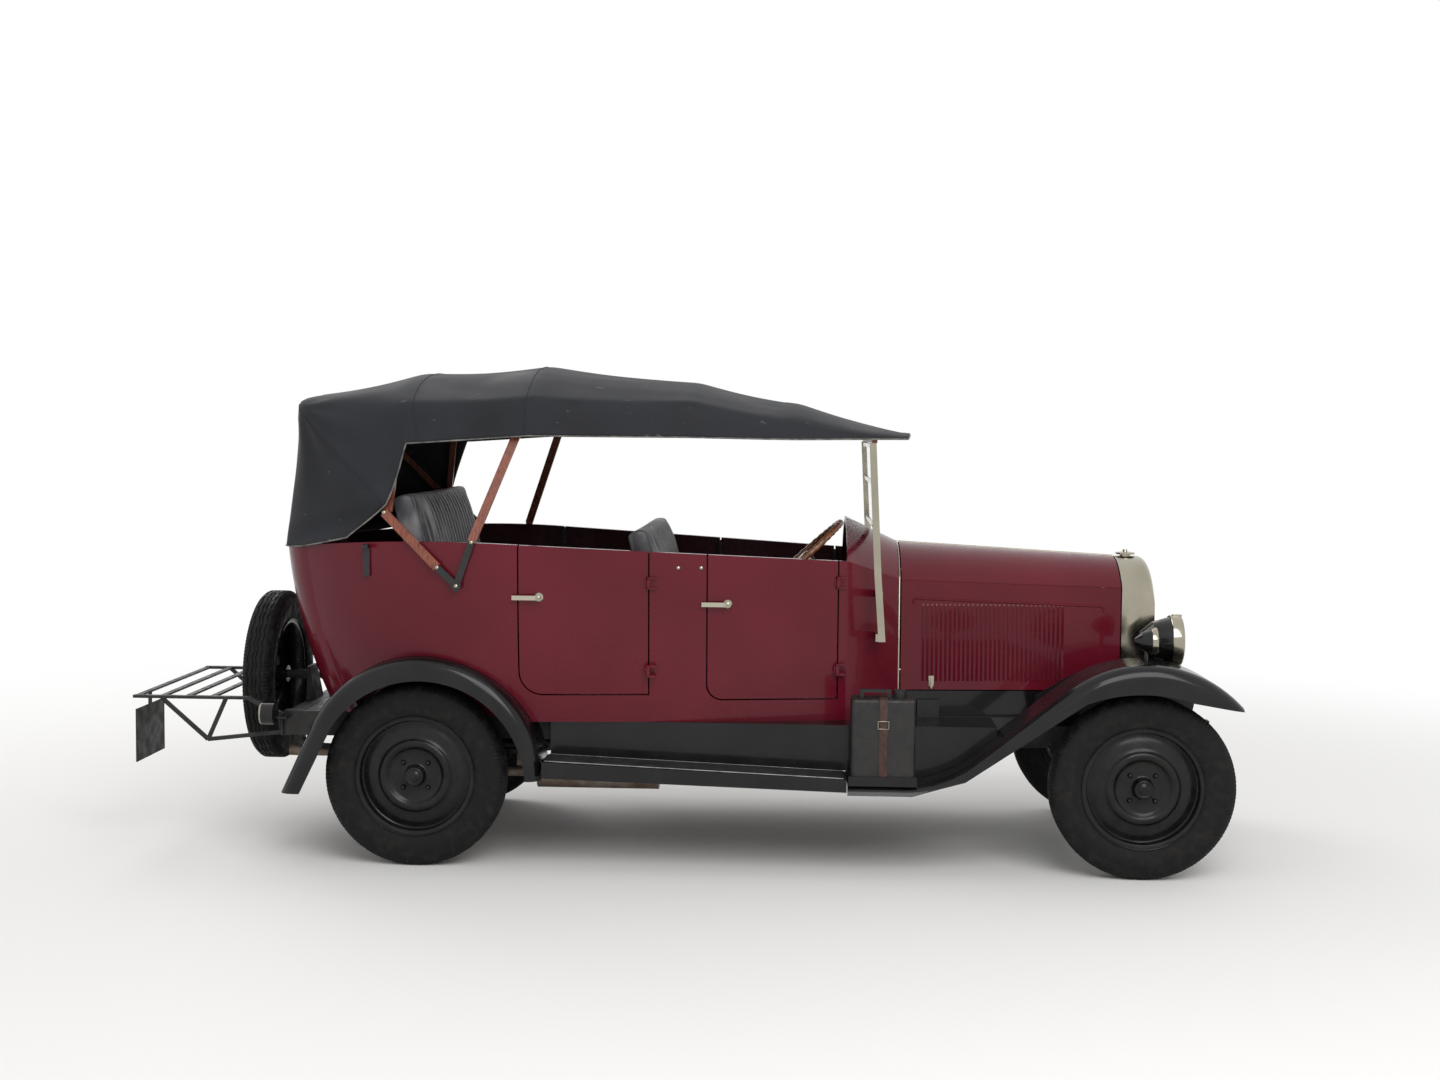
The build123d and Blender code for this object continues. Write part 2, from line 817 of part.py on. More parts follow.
def body_plan(row, inset):
    height, front_y, pillar_y, wide_y, tail_y, end_x = row
    with BuildSketch(Plane.XY.offset(height)) as plan:
        with BuildLine():
            for hand in (1, -1):
                ThreePointArc(
                    (body_front_x, hand * (front_y - inset)),
                    (pillar_x, hand * (pillar_y - inset)),
                    (wide_x, hand * (wide_y - inset)),
                )
                ThreePointArc(
                    (wide_x, hand * (wide_y - inset)),
                    (rear_axle_x - 120, hand * (wide_y - 48 - inset)),
                    (end_x + tail_corner, hand * (tail_y + 40 - inset)),
                )
                ThreePointArc(
                    (end_x + tail_corner, hand * (tail_y + 40 - inset)),
                    (end_x + 34 + inset, hand * (tail_y - 30 - inset / 2)),
                    (end_x + inset, hand * (tail_y - tail_corner)),
                )
            Line(
                (end_x + inset, tail_y - tail_corner),
                (end_x + inset, tail_corner - tail_y),
            )
            Line((body_front_x, front_y - inset), (body_front_x, inset - front_y))
        make_face()
    return plan.sketch


def tub_outer(inset=0):
    return loft([body_plan(row, inset) for row in body_levels], mode=Mode.PRIVATE)


def waist_line(lift):
    """The body's top edge, from the scuttle back to the tail."""
    with BuildLine(mode=Mode.PRIVATE) as edge:
        Line((body_front_x + 5, waist_front_z + lift), (waist_break_x, waist_rear_z + lift))
        ThreePointArc(
            (waist_break_x, waist_rear_z + lift),
            (rear_axle_x, waist_rear_z + 9 + lift),
            (tail_x - 5, waist_tail_z + lift),
        )
    return edge.line


def above_waist(lift=0):
    """Everything over the body's top edge, as a block to cut with."""
    with BuildPart(mode=Mode.PRIVATE) as block:
        with BuildSketch(Plane.XZ):
            with BuildLine():
                add(waist_line(lift))
                Polyline(
                    (tail_x - 5, waist_tail_z + lift),
                    (tail_x - 5, 2200),
                    (body_front_x + 5, 2200),
                    (body_front_x + 5, waist_front_z + lift),
                )
            make_face()
        extrude(amount=900, both=True)
    return block.part


arch_x = rear_axle_x + rear_wing_offset_x
arch_z = hub_z + 3
arch_wall = 6
house_y = wing_inner_y - 10


def arch_cylinder(radius, inner_y, outer_y):
    """A wheel arch's round space on both sides of the body."""
    with BuildPart(mode=Mode.PRIVATE) as space:
        for hand in (1, -1):
            with Locations(
                Location((arch_x, hand * (inner_y + outer_y) / 2, arch_z), (90, 0, 0))
            ):
                Cylinder(radius, outer_y - inner_y)
    return space.part


door_rows = (
    # name, front edge x, rear edge x, bottom z, bottom rear corner radius
    ("front", behind(37), behind(553), 672, 60),
    ("rear", behind(788), behind(1290), 695, 90),
)


def door_prism(row, grow):
    """The outline of a door, seen from the side, as a block through the car's left wall."""
    name, front_x, rear_x, bottom_z, corner = row
    with BuildPart(mode=Mode.PRIVATE) as block:
        with BuildSketch(Plane.XZ):
            with BuildLine():
                Polyline(
                    (rear_x - grow, bottom_z + corner),
                    (rear_x - grow, 1500),
                    (front_x + grow, 1500),
                    (front_x + grow, bottom_z - grow),
                    (rear_x + corner, bottom_z - grow),
                )
                RadiusArc(
                    (rear_x + corner, bottom_z - grow),
                    (rear_x - grow, bottom_z + corner),
                    corner + grow,
                )
            make_face()
        extrude(amount=-900)
    return block.part


def body_side_y(x, z):
    """Half-width of the body at a place on its side."""
    probe = Edge.make_line((x, 300, z), (x, 900, z))
    return probe.intersect(tub_outer()).vertices().sort_by(Axis.Y)[-1].Y


hinge_heights = (790, 1140)
pin_offset = 3
barrel_r = 10
barrel_length = 30
pin_r = 5
hinge_ear_r = 7.5
ear_height = 8
ear_gap_z = 1


def hinge_y(row):
    """The pin's distance from the car's middle, just outside the wall at the upper hinge."""
    return body_side_y(row[1] + 1, hinge_heights[1]) + hinge_ear_r


def hinge_room(row):
    """The space that a door's hinges turn in, cut from the door and from the body."""
    with BuildPart(mode=Mode.PRIVATE) as room:
        for z in hinge_heights:
            with Locations((row[1] + pin_offset, hinge_y(row), z)):
                Cylinder(barrel_r + 3, barrel_length + 2 * (ear_gap_z + ear_height + 1))
    return room.part


def hinge_pins(row):
    """The body's half of a door's two hinges: a pin between two ears."""
    x = row[1] + pin_offset
    y = hinge_y(row)
    reach = barrel_length / 2 + ear_gap_z
    with BuildPart(mode=Mode.PRIVATE) as pins:
        for z in hinge_heights:
            with Locations((x, y, z)):
                Cylinder(pin_r, barrel_length + 2 * ear_gap_z + 2 * ear_height)
            for low in (z + reach, z - reach - ear_height):
                with Locations((x, y, low)):
                    Cylinder(hinge_ear_r, ear_height, align=(Align.CENTER, Align.CENTER, Align.MIN))
                with Locations((x, y + 3, low)):
                    Box(30, 34, ear_height, align=(Align.MIN, Align.MAX, Align.MIN))
    return pins.part


def tub_cavity():
    """The space inside the body, over its floor."""
    with BuildPart(mode=Mode.PRIVATE) as space:
        add(tub_outer(body_wall))
        with Locations((0, 0, body_bottom_z + floor_thickness)):
            Box(
                2 * overall_length,
                4 * wing_edge_y,
                2 * waist_rear_z,
                align=(Align.CENTER, Align.CENTER, Align.MIN),
                mode=Mode.INTERSECT,
            )
    return space.part


house = tub_outer() & arch_cylinder(rear_wing_radius + arch_wall + 1, house_y, wing_edge_y + 100)
house = house - above_waist()
with BuildPart() as body_tub:
    add(tub_outer())
    add(tub_cavity(), mode=Mode.SUBTRACT)
    add(house)
    add(arch_cylinder(rear_wing_radius + 1, wing_inner_y, wing_edge_y + 100), mode=Mode.SUBTRACT)
    add(above_waist(), mode=Mode.SUBTRACT)
    for row in door_rows:
        add(door_prism(row, door_gap), mode=Mode.SUBTRACT)
        add(mirrored(door_prism(row, door_gap)), mode=Mode.SUBTRACT)
        add(hinge_room(row), mode=Mode.SUBTRACT)
        add(mirrored(hinge_room(row)), mode=Mode.SUBTRACT)
        add(hinge_pins(row))
        add(mirrored(hinge_pins(row)))
body_tub.part.label = "body_tub"
export_step(body_tub.part, "parts/body_tub.step")

# Doors: cut from the same wall, hung on their front edges, each with a lever handle
handle_x = 78
handle_z = (1055, 1084)
handle_reach = 32
lever_length = 110


def hinge_barrels(row):
    """The door's half of its two hinges."""
    x = row[1] + pin_offset
    y = hinge_y(row)
    with BuildPart(mode=Mode.PRIVATE) as barrels:
        for z in hinge_heights:
            with Locations((x, y, z)):
                Cylinder(barrel_r, barrel_length)
                Box(barrel_r + 4, 40, barrel_length, align=(Align.MAX, Align.MAX, Align.CENTER))
                Cylinder(pin_r + fit_gap, 100, mode=Mode.SUBTRACT)
    return barrels.part


for row, height in zip(door_rows, handle_z):
    x = row[2] + handle_x
    skin_y = body_side_y(x, height)
    with BuildPart() as door:
        add(tub_outer())
        add(tub_outer(body_wall), mode=Mode.SUBTRACT)
        add(door_prism(row, 0), mode=Mode.INTERSECT)
        add(above_waist(), mode=Mode.SUBTRACT)
        with Locations(Location((x, skin_y - body_wall / 2, height), (-90, 0, 0))):
            Cylinder(15, body_wall / 2 + 6, align=(Align.CENTER, Align.CENTER, Align.MIN))
            Cylinder(8, body_wall / 2 + handle_reach, align=(Align.CENTER, Align.CENTER, Align.MIN))
        with Locations((x + 8, skin_y + handle_reach - 2, height)):
            Box(lever_length, 12, 18, align=(Align.MAX, Align.CENTER, Align.CENTER))
        add(hinge_room(row), mode=Mode.SUBTRACT)
        add(hinge_barrels(row))
    export_pair(door.part, f"door_{row[0]}")

# Front wings: crowned sheet over the wheel, a straight fall and a flat tail by the running board
nose_x = overall_length / 2
nose_z = hub_z + sqrt(front_wing_radius**2 - front_overhang**2)
fall = radians(front_wing_fall)
crown_end = (
    front_axle_x - front_wing_radius * sin(fall),
    hub_z + front_wing_radius * cos(fall),
)
blend_top_z = front_wing_flat_z + front_wing_blend * (1 - cos(fall))
blend_top_x = crown_end[0] - (crown_end[1] - blend_top_z) / tan(fall)
blend_end_x = blend_top_x - front_wing_blend * sin(fall)
lip_depth = 38
wing_floor_z = 200
nose_lip = 14
lip_rows = (
    # angle round the axle from straight ahead, depth under the wing's upper line
    (64.3, 103),
    (91.5, 111),
    (125, 76),
)


def upper_edges(block):
    """The long edges between a wing's top and its outer side."""
    outer = block.faces().sort_by(Axis.Y)[-1].edges()
    return outer.filter_by(
        lambda edge: edge.center().Z > wing_floor_z + 5 and abs(edge.tangent_at(0.5).X) > 0.1
    )


def front_wing_block(drop):
    """The space under the wing's upper line; drop moves it in by a sheet's thickness."""
    radius = front_wing_radius - drop
    bend = front_wing_blend + drop
    front_x = nose_x - drop
    start = (front_x, hub_z + sqrt(radius**2 - (front_x - front_axle_x) ** 2))
    end = (front_axle_x - radius * sin(fall), hub_z + radius * cos(fall))
    low = (blend_top_x - drop * sin(fall), blend_top_z - drop * cos(fall))
    middle = (
        blend_end_x + bend * sin(fall / 2),
        front_wing_flat_z + front_wing_blend - bend * cos(fall / 2),
    )
    flat = (blend_end_x, front_wing_flat_z - drop)
    tail = (front_wing_tail_x, front_wing_flat_z - drop)
    with BuildPart(mode=Mode.PRIVATE) as block:
        with BuildSketch(Plane.XZ):
            with BuildLine():
                ThreePointArc(start, (front_axle_x, hub_z + radius), end)
                Line(end, low)
                ThreePointArc(low, middle, flat)
                Line(flat, tail)
                Polyline(tail, (front_wing_tail_x, wing_floor_z), (front_x, wing_floor_z), start)
            make_face()
        extrude(amount=-(wing_edge_y - drop))
        fillet(upper_edges(block), front_wing_round - drop)
    return block.part


def lip_point(angle, depth):
    reach = front_wing_radius - depth
    return (front_axle_x + reach * cos(radians(angle)), hub_z + reach * sin(radians(angle)))


def front_wing_lip():
    """The space below the wing's lower edge, cut right across it."""
    ahead, over, back = (lip_point(*row) for row in lip_rows)
    with BuildPart(mode=Mode.PRIVATE) as block:
        with BuildSketch(Plane.XZ):
            with BuildLine():
                Polyline((nose_x + 50, nose_z - nose_lip), (nose_x, nose_z - nose_lip), ahead)
                ThreePointArc(ahead, over, back)
                Polyline(
                    back,
                    (blend_top_x - lip_depth, blend_top_z - 2 * lip_depth),
                    (blend_end_x + lip_depth, front_wing_flat_z - lip_depth),
                    (front_wing_tail_x - 50, front_wing_flat_z - lip_depth),
                    (front_wing_tail_x - 50, wing_floor_z - 50),
                    (nose_x + 50, wing_floor_z - 50),
                    (nose_x + 50, nose_z - nose_lip),
                )
            make_face()
        extrude(amount=-wing_edge_y)
    return block.part


can_length = 251
can_x = (front_wing_tail_x + 11, front_wing_tail_x + 11 + can_length)
can_y = (20 - wing_edge_y, 158 - wing_edge_y)
can_middle = ((can_x[0] + can_x[1]) / 2, (can_y[0] + can_y[1]) / 2)
tray_height = 12
tray_border = 7
can_low_z = front_wing_flat_z + tray_height
can_high_z = 708
valance_low_y = front_rail_y + rail_half
valance_low_z = rail_top_z - 30
valance_bend_z = rail_top_z + 20
valance_top_z = hub_z + 440
valance_rear_x = front_axle_x - 390
valance_length = 640


def valance():
    """The sloping inner sheet between the chassis rail and the wing's inner edge."""
    with BuildPart(mode=Mode.PRIVATE) as inner:
        with BuildSketch(Plane.YZ.offset(valance_rear_x)):
            with BuildLine():
                Polyline(
                    (valance_low_y, valance_low_z),
                    (valance_low_y + sheet, valance_low_z),
                    (valance_low_y + sheet, valance_bend_z),
                    (wing_inner_y + sheet / 2, valance_top_z),
                    (wing_inner_y + sheet / 2, 2 * valance_top_z),
                    (wing_inner_y - sheet / 2, 2 * valance_top_z),
                    (wing_inner_y - sheet / 2, valance_top_z + sheet),
                    (valance_low_y, valance_bend_z + sheet),
                    close=True,
                )
            make_face()
        extrude(amount=valance_length)
        add(front_wing_block(0), mode=Mode.INTERSECT)
    return inner.part


with BuildPart() as front_wings:
    add(front_wing_block(0))
    with Locations((front_axle_x, 0, hub_z)):
        Box(overall_length, 2 * wing_inner_y, overall_length, mode=Mode.SUBTRACT)
    add(front_wing_block(sheet), mode=Mode.SUBTRACT)
    add(front_wing_lip(), mode=Mode.SUBTRACT)
    add(valance())
    mirror(about=Plane.XZ)
    with Locations((*can_middle, front_wing_flat_z - sheet / 2)):
        Box(
            can_length + 2 * tray_border,
            can_y[1] - can_y[0] + 2 * tray_border,
            tray_height + 26,
            align=(Align.CENTER, Align.CENTER, Align.MIN),
        )
    with Locations((*can_middle, can_low_z)):
        Box(
            can_length + 2 * fit_gap,
            can_y[1] - can_y[0] + 2 * fit_gap,
            tray_height + 26,
            align=(Align.CENTER, Align.CENTER, Align.MIN),
            mode=Mode.SUBTRACT,
        )
front_wings.part.label = "front_wings"
export_step(front_wings.part, "parts/front_wings.step")

# Rear wings: crowned sheet round the wheel with a short tail, joined to the body at the arch
rear_wing_low = rear_wing_radius - 78
rear_lip_angle = 150
rear_tail_x = rear_axle_x - 520
rear_tail_z = 305
rear_wing_end = 157


def rear_wing_block(drop):
    """The space under the wing's upper line; drop moves it in by a sheet's thickness."""
    radius = rear_wing_radius - drop
    end = (arch_x + radius * cos(radians(rear_wing_end)), arch_z + radius * sin(radians(rear_wing_end)))
    with BuildPart(mode=Mode.PRIVATE) as block:
        with BuildSketch(Plane.XZ):
            with BuildLine():
                ThreePointArc((arch_x + radius, arch_z), (arch_x, arch_z + radius), end)
                Line(end, (rear_tail_x + drop, rear_tail_z))
                Polyline(
                    (rear_tail_x + drop, rear_tail_z),
                    (rear_tail_x + drop, wing_floor_z),
                    (arch_x + radius, wing_floor_z),
                    (arch_x + radius, arch_z),
                )
            make_face()
        extrude(amount=-(wing_edge_y - drop))
        fillet(upper_edges(block), rear_wing_round - drop)
    return block.part


def rear_wing_lip():
    """The space below the wing's lower edge, cut right across it."""
    with BuildPart(mode=Mode.PRIVATE) as block:
        angle = radians(rear_lip_angle)
        low = (arch_x + rear_wing_low * cos(angle), arch_z + rear_wing_low * sin(angle))
        front_x = arch_x + rear_wing_radius + 200
        with BuildSketch(Plane.XZ):
            with BuildLine():
                ThreePointArc(
                    (arch_x + rear_wing_low + 20, arch_z),
                    (arch_x, arch_z + rear_wing_low - 10),
                    low,
                )
                Polyline(
                    low,
                    (rear_tail_x + 80, rear_tail_z - 5),
                    (rear_tail_x - 40, rear_tail_z - 5),
                    (rear_tail_x - 40, wing_floor_z - 50),
                    (front_x, wing_floor_z - 50),
                    (front_x, arch_z),
                    (arch_x + rear_wing_low + 20, arch_z),
                )
            make_face()
        extrude(amount=-wing_edge_y)
    return block.part


with BuildPart() as rear_wings:
    add(rear_wing_block(0))
    with Locations((rear_axle_x, 0, hub_z)):
        Box(overall_length, 2 * wing_inner_y, overall_length, mode=Mode.SUBTRACT)
    add(rear_wing_block(sheet), mode=Mode.SUBTRACT)
    add(rear_wing_lip(), mode=Mode.SUBTRACT)
    mirror(about=Plane.XZ)
rear_wings.part.label = "rear_wings"
export_step(rear_wings.part, "parts/rear_wings.step")

# Running boards, sloping down a little to the front, on brackets from the rails
board_rear_z = 444
board_front_z = 396
board_depth = 50
board_inner_y = wing_edge_y - 178
board_front_x = front_wing_tail_x - 3
bracket_xs = [board_rear_x + share * (board_front_x - board_rear_x) for share in (0.12, 0.5, 0.88)]
bracket_z = rail_bottom_z + 20
bracket_width = 24
bracket_depth = 16
rail_outer_y = rear_rail_y + rail_half
with BuildPart() as running_boards:
    with BuildSketch(Plane.XZ.offset(-board_inner_y)):
        with BuildLine():
            Polyline(
                (board_rear_x + 1, board_rear_z),
                (board_front_x, board_front_z),
                (board_front_x, board_front_z - board_depth),
                (board_rear_x + 10, board_rear_z - board_depth - 14),
                (board_rear_x + 1, board_rear_z - board_depth),
                close=True,
            )
        make_face()
    extrude(amount=-(wing_edge_y - board_inner_y))
    for x in bracket_xs:
        with BuildSketch(Plane.YZ.offset(x - bracket_width / 2)):
            with BuildLine():
                Polyline(
                    (rail_outer_y, bracket_z + 30),
                    (rail_outer_y, bracket_z),
                    (rail_outer_y + 30, bracket_z - 40),
                    (board_inner_y + 30, board_front_z - board_depth + 8),
                    (board_inner_y + 30, board_front_z - board_depth + 8 + bracket_depth),
                    (rail_outer_y + 34, bracket_z - 40 + bracket_depth),
                    close=True,
                )
            make_face()
        extrude(amount=bracket_width)
    mirror(about=Plane.XZ)
running_boards.part.label = "running_boards"
export_step(running_boards.part, "parts/running_boards.step")

# Side aprons: splash plates from the sill down to the boards, and the shelf under the bonnet
apron_y = board_inner_y - 8
apron_rear_x = board_rear_x + 12
apron_front_x = blend_top_x + 100
sill_plate = 5
curb_inset = 8
curb_width = 10
curb_height = bonnet_bottom_z - end_gap - body_bottom_z
with BuildPart() as side_aprons:
    with BuildSketch(Plane.XZ.offset(-apron_y)):
        with BuildLine():
            Polyline(
                (apron_rear_x, body_bottom_z),
                (apron_rear_x, board_rear_z + 2),
                (board_front_x, board_front_z + 2),
                (board_front_x, front_wing_flat_z + 1),
                (blend_end_x, front_wing_flat_z + 1),
            )
            ThreePointArc(
                (blend_end_x, front_wing_flat_z + 1),
                (
                    blend_end_x + front_wing_blend * sin(fall / 2),
                    front_wing_flat_z + 1 + front_wing_blend * (1 - cos(fall / 2)),
                ),
                (blend_top_x, blend_top_z + 1),
            )
            Polyline(
                (blend_top_x, blend_top_z + 1),
                (apron_front_x, blend_top_z + 1 + (apron_front_x - blend_top_x) * tan(fall)),
                (apron_front_x, body_bottom_z),
                (apron_rear_x, body_bottom_z),
            )
        make_face()
    extrude(amount=-sheet)
    with BuildSketch(Plane.XY.offset(body_bottom_z - sill_plate)):
        with BuildLine():
            Polyline(
                (apron_rear_x, rail_outer_y),
                (rail_bend_rear_x, rail_outer_y),
                (rail_bend_front_x, front_rail_y + rail_half),
                (apron_front_x, front_rail_y + rail_half),
                (apron_front_x, apron_y + 1),
                (apron_rear_x, apron_y + 1),
                close=True,
            )
        make_face()
    extrude(amount=sill_plate)
    with BuildSketch(Plane.XY.offset(body_bottom_z)):
        with BuildLine():
            Polyline(
                (bonnet_rear_x + 1, rear_foot_y - curb_inset - curb_width),
                (bonnet_front_x - 1, front_foot_y - curb_inset - curb_width),
                (bonnet_front_x - 1, front_foot_y - curb_inset),
                (bonnet_rear_x + 1, rear_foot_y - curb_inset),
                close=True,
            )
        make_face()
    extrude(amount=curb_height)
    mirror(about=Plane.XZ)
side_aprons.part.label = "side_aprons"
export_step(side_aprons.part, "parts/side_aprons.step")

# Fuel tank between the rear rails
tank_depth = 140
tank_front_x = rear_axle_x - 390
tank_z = rail_bottom_z + 4
tank_height = 90
tank_round = 14
with BuildPart() as fuel_tank:
    with Locations((tank_front_x, 0, tank_z)):
        Box(
            tank_depth,
            2 * (rear_rail_y - rail_half),
            tank_height,
            align=(Align.MAX, Align.CENTER, Align.MIN),
        )
    fillet(fuel_tank.edges().filter_by(Axis.Y), tank_round)
fuel_tank.part.label = "fuel_tank"
export_step(fuel_tank.part, "parts/fuel_tank.step")

# Exhaust: pipe, silencer and tail pipe, hung from the rail
pipe_diameter = 44
pipe_y = -350
pipe_z = 330
arch_pipe_z = 444
tail_pipe_z = 400
pipe_bend = 34
engine_side_y = -engine_rows[0][2] / 2
down_pipe_x = engine_rear_x + 140
pipe_points = (
    (down_pipe_x, engine_side_y, 650),
    (down_pipe_x, engine_side_y - 62, 650),
    (down_pipe_x, engine_side_y - 68, 440),
    (down_pipe_x - 300, pipe_y, pipe_z),
    (rear_axle_x + 290, pipe_y, pipe_z),
    (rear_axle_x + 150, pipe_y, arch_pipe_z),
    (rear_axle_x - 170, pipe_y, arch_pipe_z),
    (rear_axle_x - 320, pipe_y, tail_pipe_z),
    (rail_rear_x, pipe_y, tail_pipe_z),
)
silencer_diameter = 130
silencer_length = 500
silencer_rear_x = rear_axle_x + 450
hanger_width = 20
hanger_thickness = 8
hanger_rows = (
    # x, height of the pipe there
    (rail_bend_rear_x - 150, pipe_z),
    (rear_axle_x + 370, pipe_z),
    (rear_axle_x - 350, tail_pipe_z),
)
with BuildPart() as exhaust:
    with BuildLine() as route:
        FilletPolyline(*pipe_points, radius=pipe_bend)
    with BuildSketch(Plane(origin=route.line @ 0, z_dir=route.line % 0)):
        Circle(pipe_diameter / 2)
    sweep(path=route.line)
    with Locations(Location((silencer_rear_x, pipe_y, pipe_z), (0, 90, 0))):
        Cylinder(silencer_diameter / 2, silencer_length, align=(Align.CENTER, Align.CENTER, Align.MIN))
    for x, z in hanger_rows:
        with Locations((x, pipe_y, z)):
            Box(
                hanger_width,
                hanger_thickness,
                rail_bottom_z + 10 - z,
                align=(Align.CENTER, Align.CENTER, Align.MIN),
            )
        with Locations((x, pipe_y - hanger_thickness / 2, rail_bottom_z + 2)):
            Box(
                hanger_width,
                rear_rail_y - rail_half + pipe_y - hanger_thickness / 2,
                hanger_thickness,
                align=(Align.CENTER, Align.MAX, Align.MIN),
            )
exhaust.part.label = "exhaust"
export_step(exhaust.part, "parts/exhaust.step")

# Windscreen: side posts on brackets, rails between them and two panes
post_y = 488
post_thickness = 12
post_width = 28
post_points = (
    # x, z of the post's middle line
    (body_front_x + 142, 905),
    (body_front_x + 122, 1174),
    (body_front_x + 95, 1700),
)
post_bracket_x = body_front_x + 130
screen_top_z = 1688
screen_mid_z = 1540
screen_low_z = 1362
screen_rail = 16
pane_thickness = 5


def post_x(z):
    (low_x, low_z), (high_x, high_z) = post_points[1], post_points[2]
    return low_x + (z - low_z) * (high_x - low_x) / (high_z - low_z)


with BuildPart() as windscreen_frame:
    for start, end in zip(post_points, post_points[1:]):
        with BuildSketch(Plane.XZ.offset(-post_y)):
            with BuildLine():
                Polyline(
                    (start[0] - post_width / 2, start[1]),
                    (start[0] + post_width / 2, start[1]),
                    (end[0] + post_width / 2, end[1]),
                    (end[0] - post_width / 2, end[1]),
                    close=True,
                )
            make_face()
        extrude(amount=-post_thickness)
    for z in (920, 1090):
        with Locations((post_bracket_x, post_y + 1, z)):
            Box(26, post_y - rear_shoulder[0], 30, align=(Align.CENTER, Align.MAX, Align.CENTER))
    mirror(about=Plane.XZ)
    for z in (screen_low_z, screen_mid_z, screen_top_z):
        with Locations((post_x(z), 0, z)):
            Box(screen_rail, 2 * post_y + 2, screen_rail)
    loft(scuttle_arches(0), mode=Mode.SUBTRACT)
windscreen_frame.part.label = "windscreen_frame"
export_step(windscreen_frame.part, "parts/windscreen_frame.step")

with BuildPart() as windscreen_glass:
    for low, high in ((screen_low_z, screen_mid_z), (screen_mid_z, screen_top_z)):
        low = low + screen_rail / 2 + fit_gap
        high = high - screen_rail / 2 - fit_gap
        with BuildSketch(Plane.XZ.offset(-(post_y - fit_gap))):
            with BuildLine():
                Polyline(
                    (post_x(low) - pane_thickness / 2, low),
                    (post_x(low) + pane_thickness / 2, low),
                    (post_x(high) + pane_thickness / 2, high),
                    (post_x(high) - pane_thickness / 2, high),
                    close=True,
                )
            make_face()
        extrude(amount=2 * (post_y - fit_gap))
windscreen_glass.part.label = "windscreen_glass"
export_step(windscreen_glass.part, "parts/windscreen_glass.step")

# Lamps: hollow bowls with rims on stalks, and their glasses
head_x = front_axle_x + 182
head_y = 362
head_z = 912
side_x = front_axle_x + 45
side_y = wing_edge_y - 160
side_z = hub_z + front_wing_radius + 79
bowl_wall = 4
glass_thickness = 5
head_rows = (
    # distance behind the rim's front, radius: rim, tapered drum and domed back
    (0, 100),
    (38, 100),
    (38, 96),
    (106, 76),
    (150, 38),
    (158, 0),
)
side_rows = (
    (0, 49),
    (20, 49),
    (20, 46),
    (56, 34),
    (82, 10),
    (84, 0),
)
head_stalk_r = 12
side_stalk_r = 8
tail_lamp_r = 46
tail_lamp_depth = 50
tail_lamp_x = rail_rear_x - 40
tail_lamp_y = rear_rail_y + 92
tail_lamp_z = rail_top_z - 2


def lamp_bowl(x, y, z, rows):
    """A hollow bowl that opens forward, turned about the X axis through its middle."""
    inner = [
        (min(behind_rim, rows[-1][0] - bowl_wall), max(radius - bowl_wall, 0)) for behind_rim, radius in rows
    ]
    with BuildPart(mode=Mode.PRIVATE) as bowl:
        with BuildSketch(Plane(origin=(x, y, z), x_dir=(-1, 0, 0), z_dir=(0, 1, 0))):
            with BuildLine():
                Polyline(*rows, inner[-1], inner[-2], inner[-3], inner[0], close=True)
            make_face()
        revolve(axis=Axis((x, y, z), (1, 0, 0)))
    return bowl.part


def below_valance():
    """The space under the wing's inner sheet, cut from what stands on it."""
    with BuildPart(mode=Mode.PRIVATE) as space:
        with BuildSketch(Plane.YZ.offset(valance_rear_x)):
            with BuildLine():
                Polyline(
                    (valance_low_y, valance_bend_z + sheet),
                    (wing_inner_y - sheet / 2, valance_top_z + sheet),
                    (wing_inner_y - sheet / 2, valance_low_z),
                    (valance_low_y, valance_low_z),
                    close=True,
                )
            make_face()
        extrude(amount=valance_length)
    return space.part


with BuildPart() as lamps:
    with Locations((head_x - 60, head_y, rail_top_z)):
        Cylinder(
            head_stalk_r,
            head_z - head_rows[3][1] - rail_top_z,
            align=(Align.CENTER, Align.CENTER, Align.MIN),
        )
    add(below_valance(), mode=Mode.SUBTRACT)
    add(lamp_bowl(head_x, head_y, head_z, head_rows))
    with Locations((side_x - 36, side_y, side_z - side_rows[0][1] - 30)):
        Cylinder(side_stalk_r, 40, align=(Align.CENTER, Align.CENTER, Align.MIN))
    add(lamp_bowl(side_x, side_y, side_z, side_rows))
    mirror(about=Plane.XZ)
    add(front_wings.part, mode=Mode.SUBTRACT)
    with Locations(Location((tail_lamp_x, -tail_lamp_y, tail_lamp_z), (0, 90, 0))):
        Cylinder(tail_lamp_r, tail_lamp_depth)
    with Locations((rail_rear_x + 2, -rail_outer_y, tail_lamp_z - 20)):
        Box(30, tail_lamp_y - rail_outer_y + 6, 8, align=(Align.MIN, Align.MAX, Align.MIN))
    with Locations((rail_rear_x + 10, -tail_lamp_y, tail_lamp_z - 20)):
        Box(40, 12, 8, align=(Align.MAX, Align.CENTER, Align.MIN))
lamps.part.label = "lamps"
export_step(lamps.part, "parts/lamps.step")

with BuildPart() as lamp_lenses:
    for x, y, z, rows in ((head_x, head_y, head_z, head_rows), (side_x, side_y, side_z, side_rows)):
        for hand in (1, -1):
            with Locations(Location((x + fit_gap, hand * y, z), (0, 90, 0))):
                Cylinder(rows[0][1] - 1, glass_thickness, align=(Align.CENTER, Align.CENTER, Align.MIN))
lamp_lenses.part.label = "lamp_lenses"
export_step(lamp_lenses.part, "parts/lamp_lenses.step")

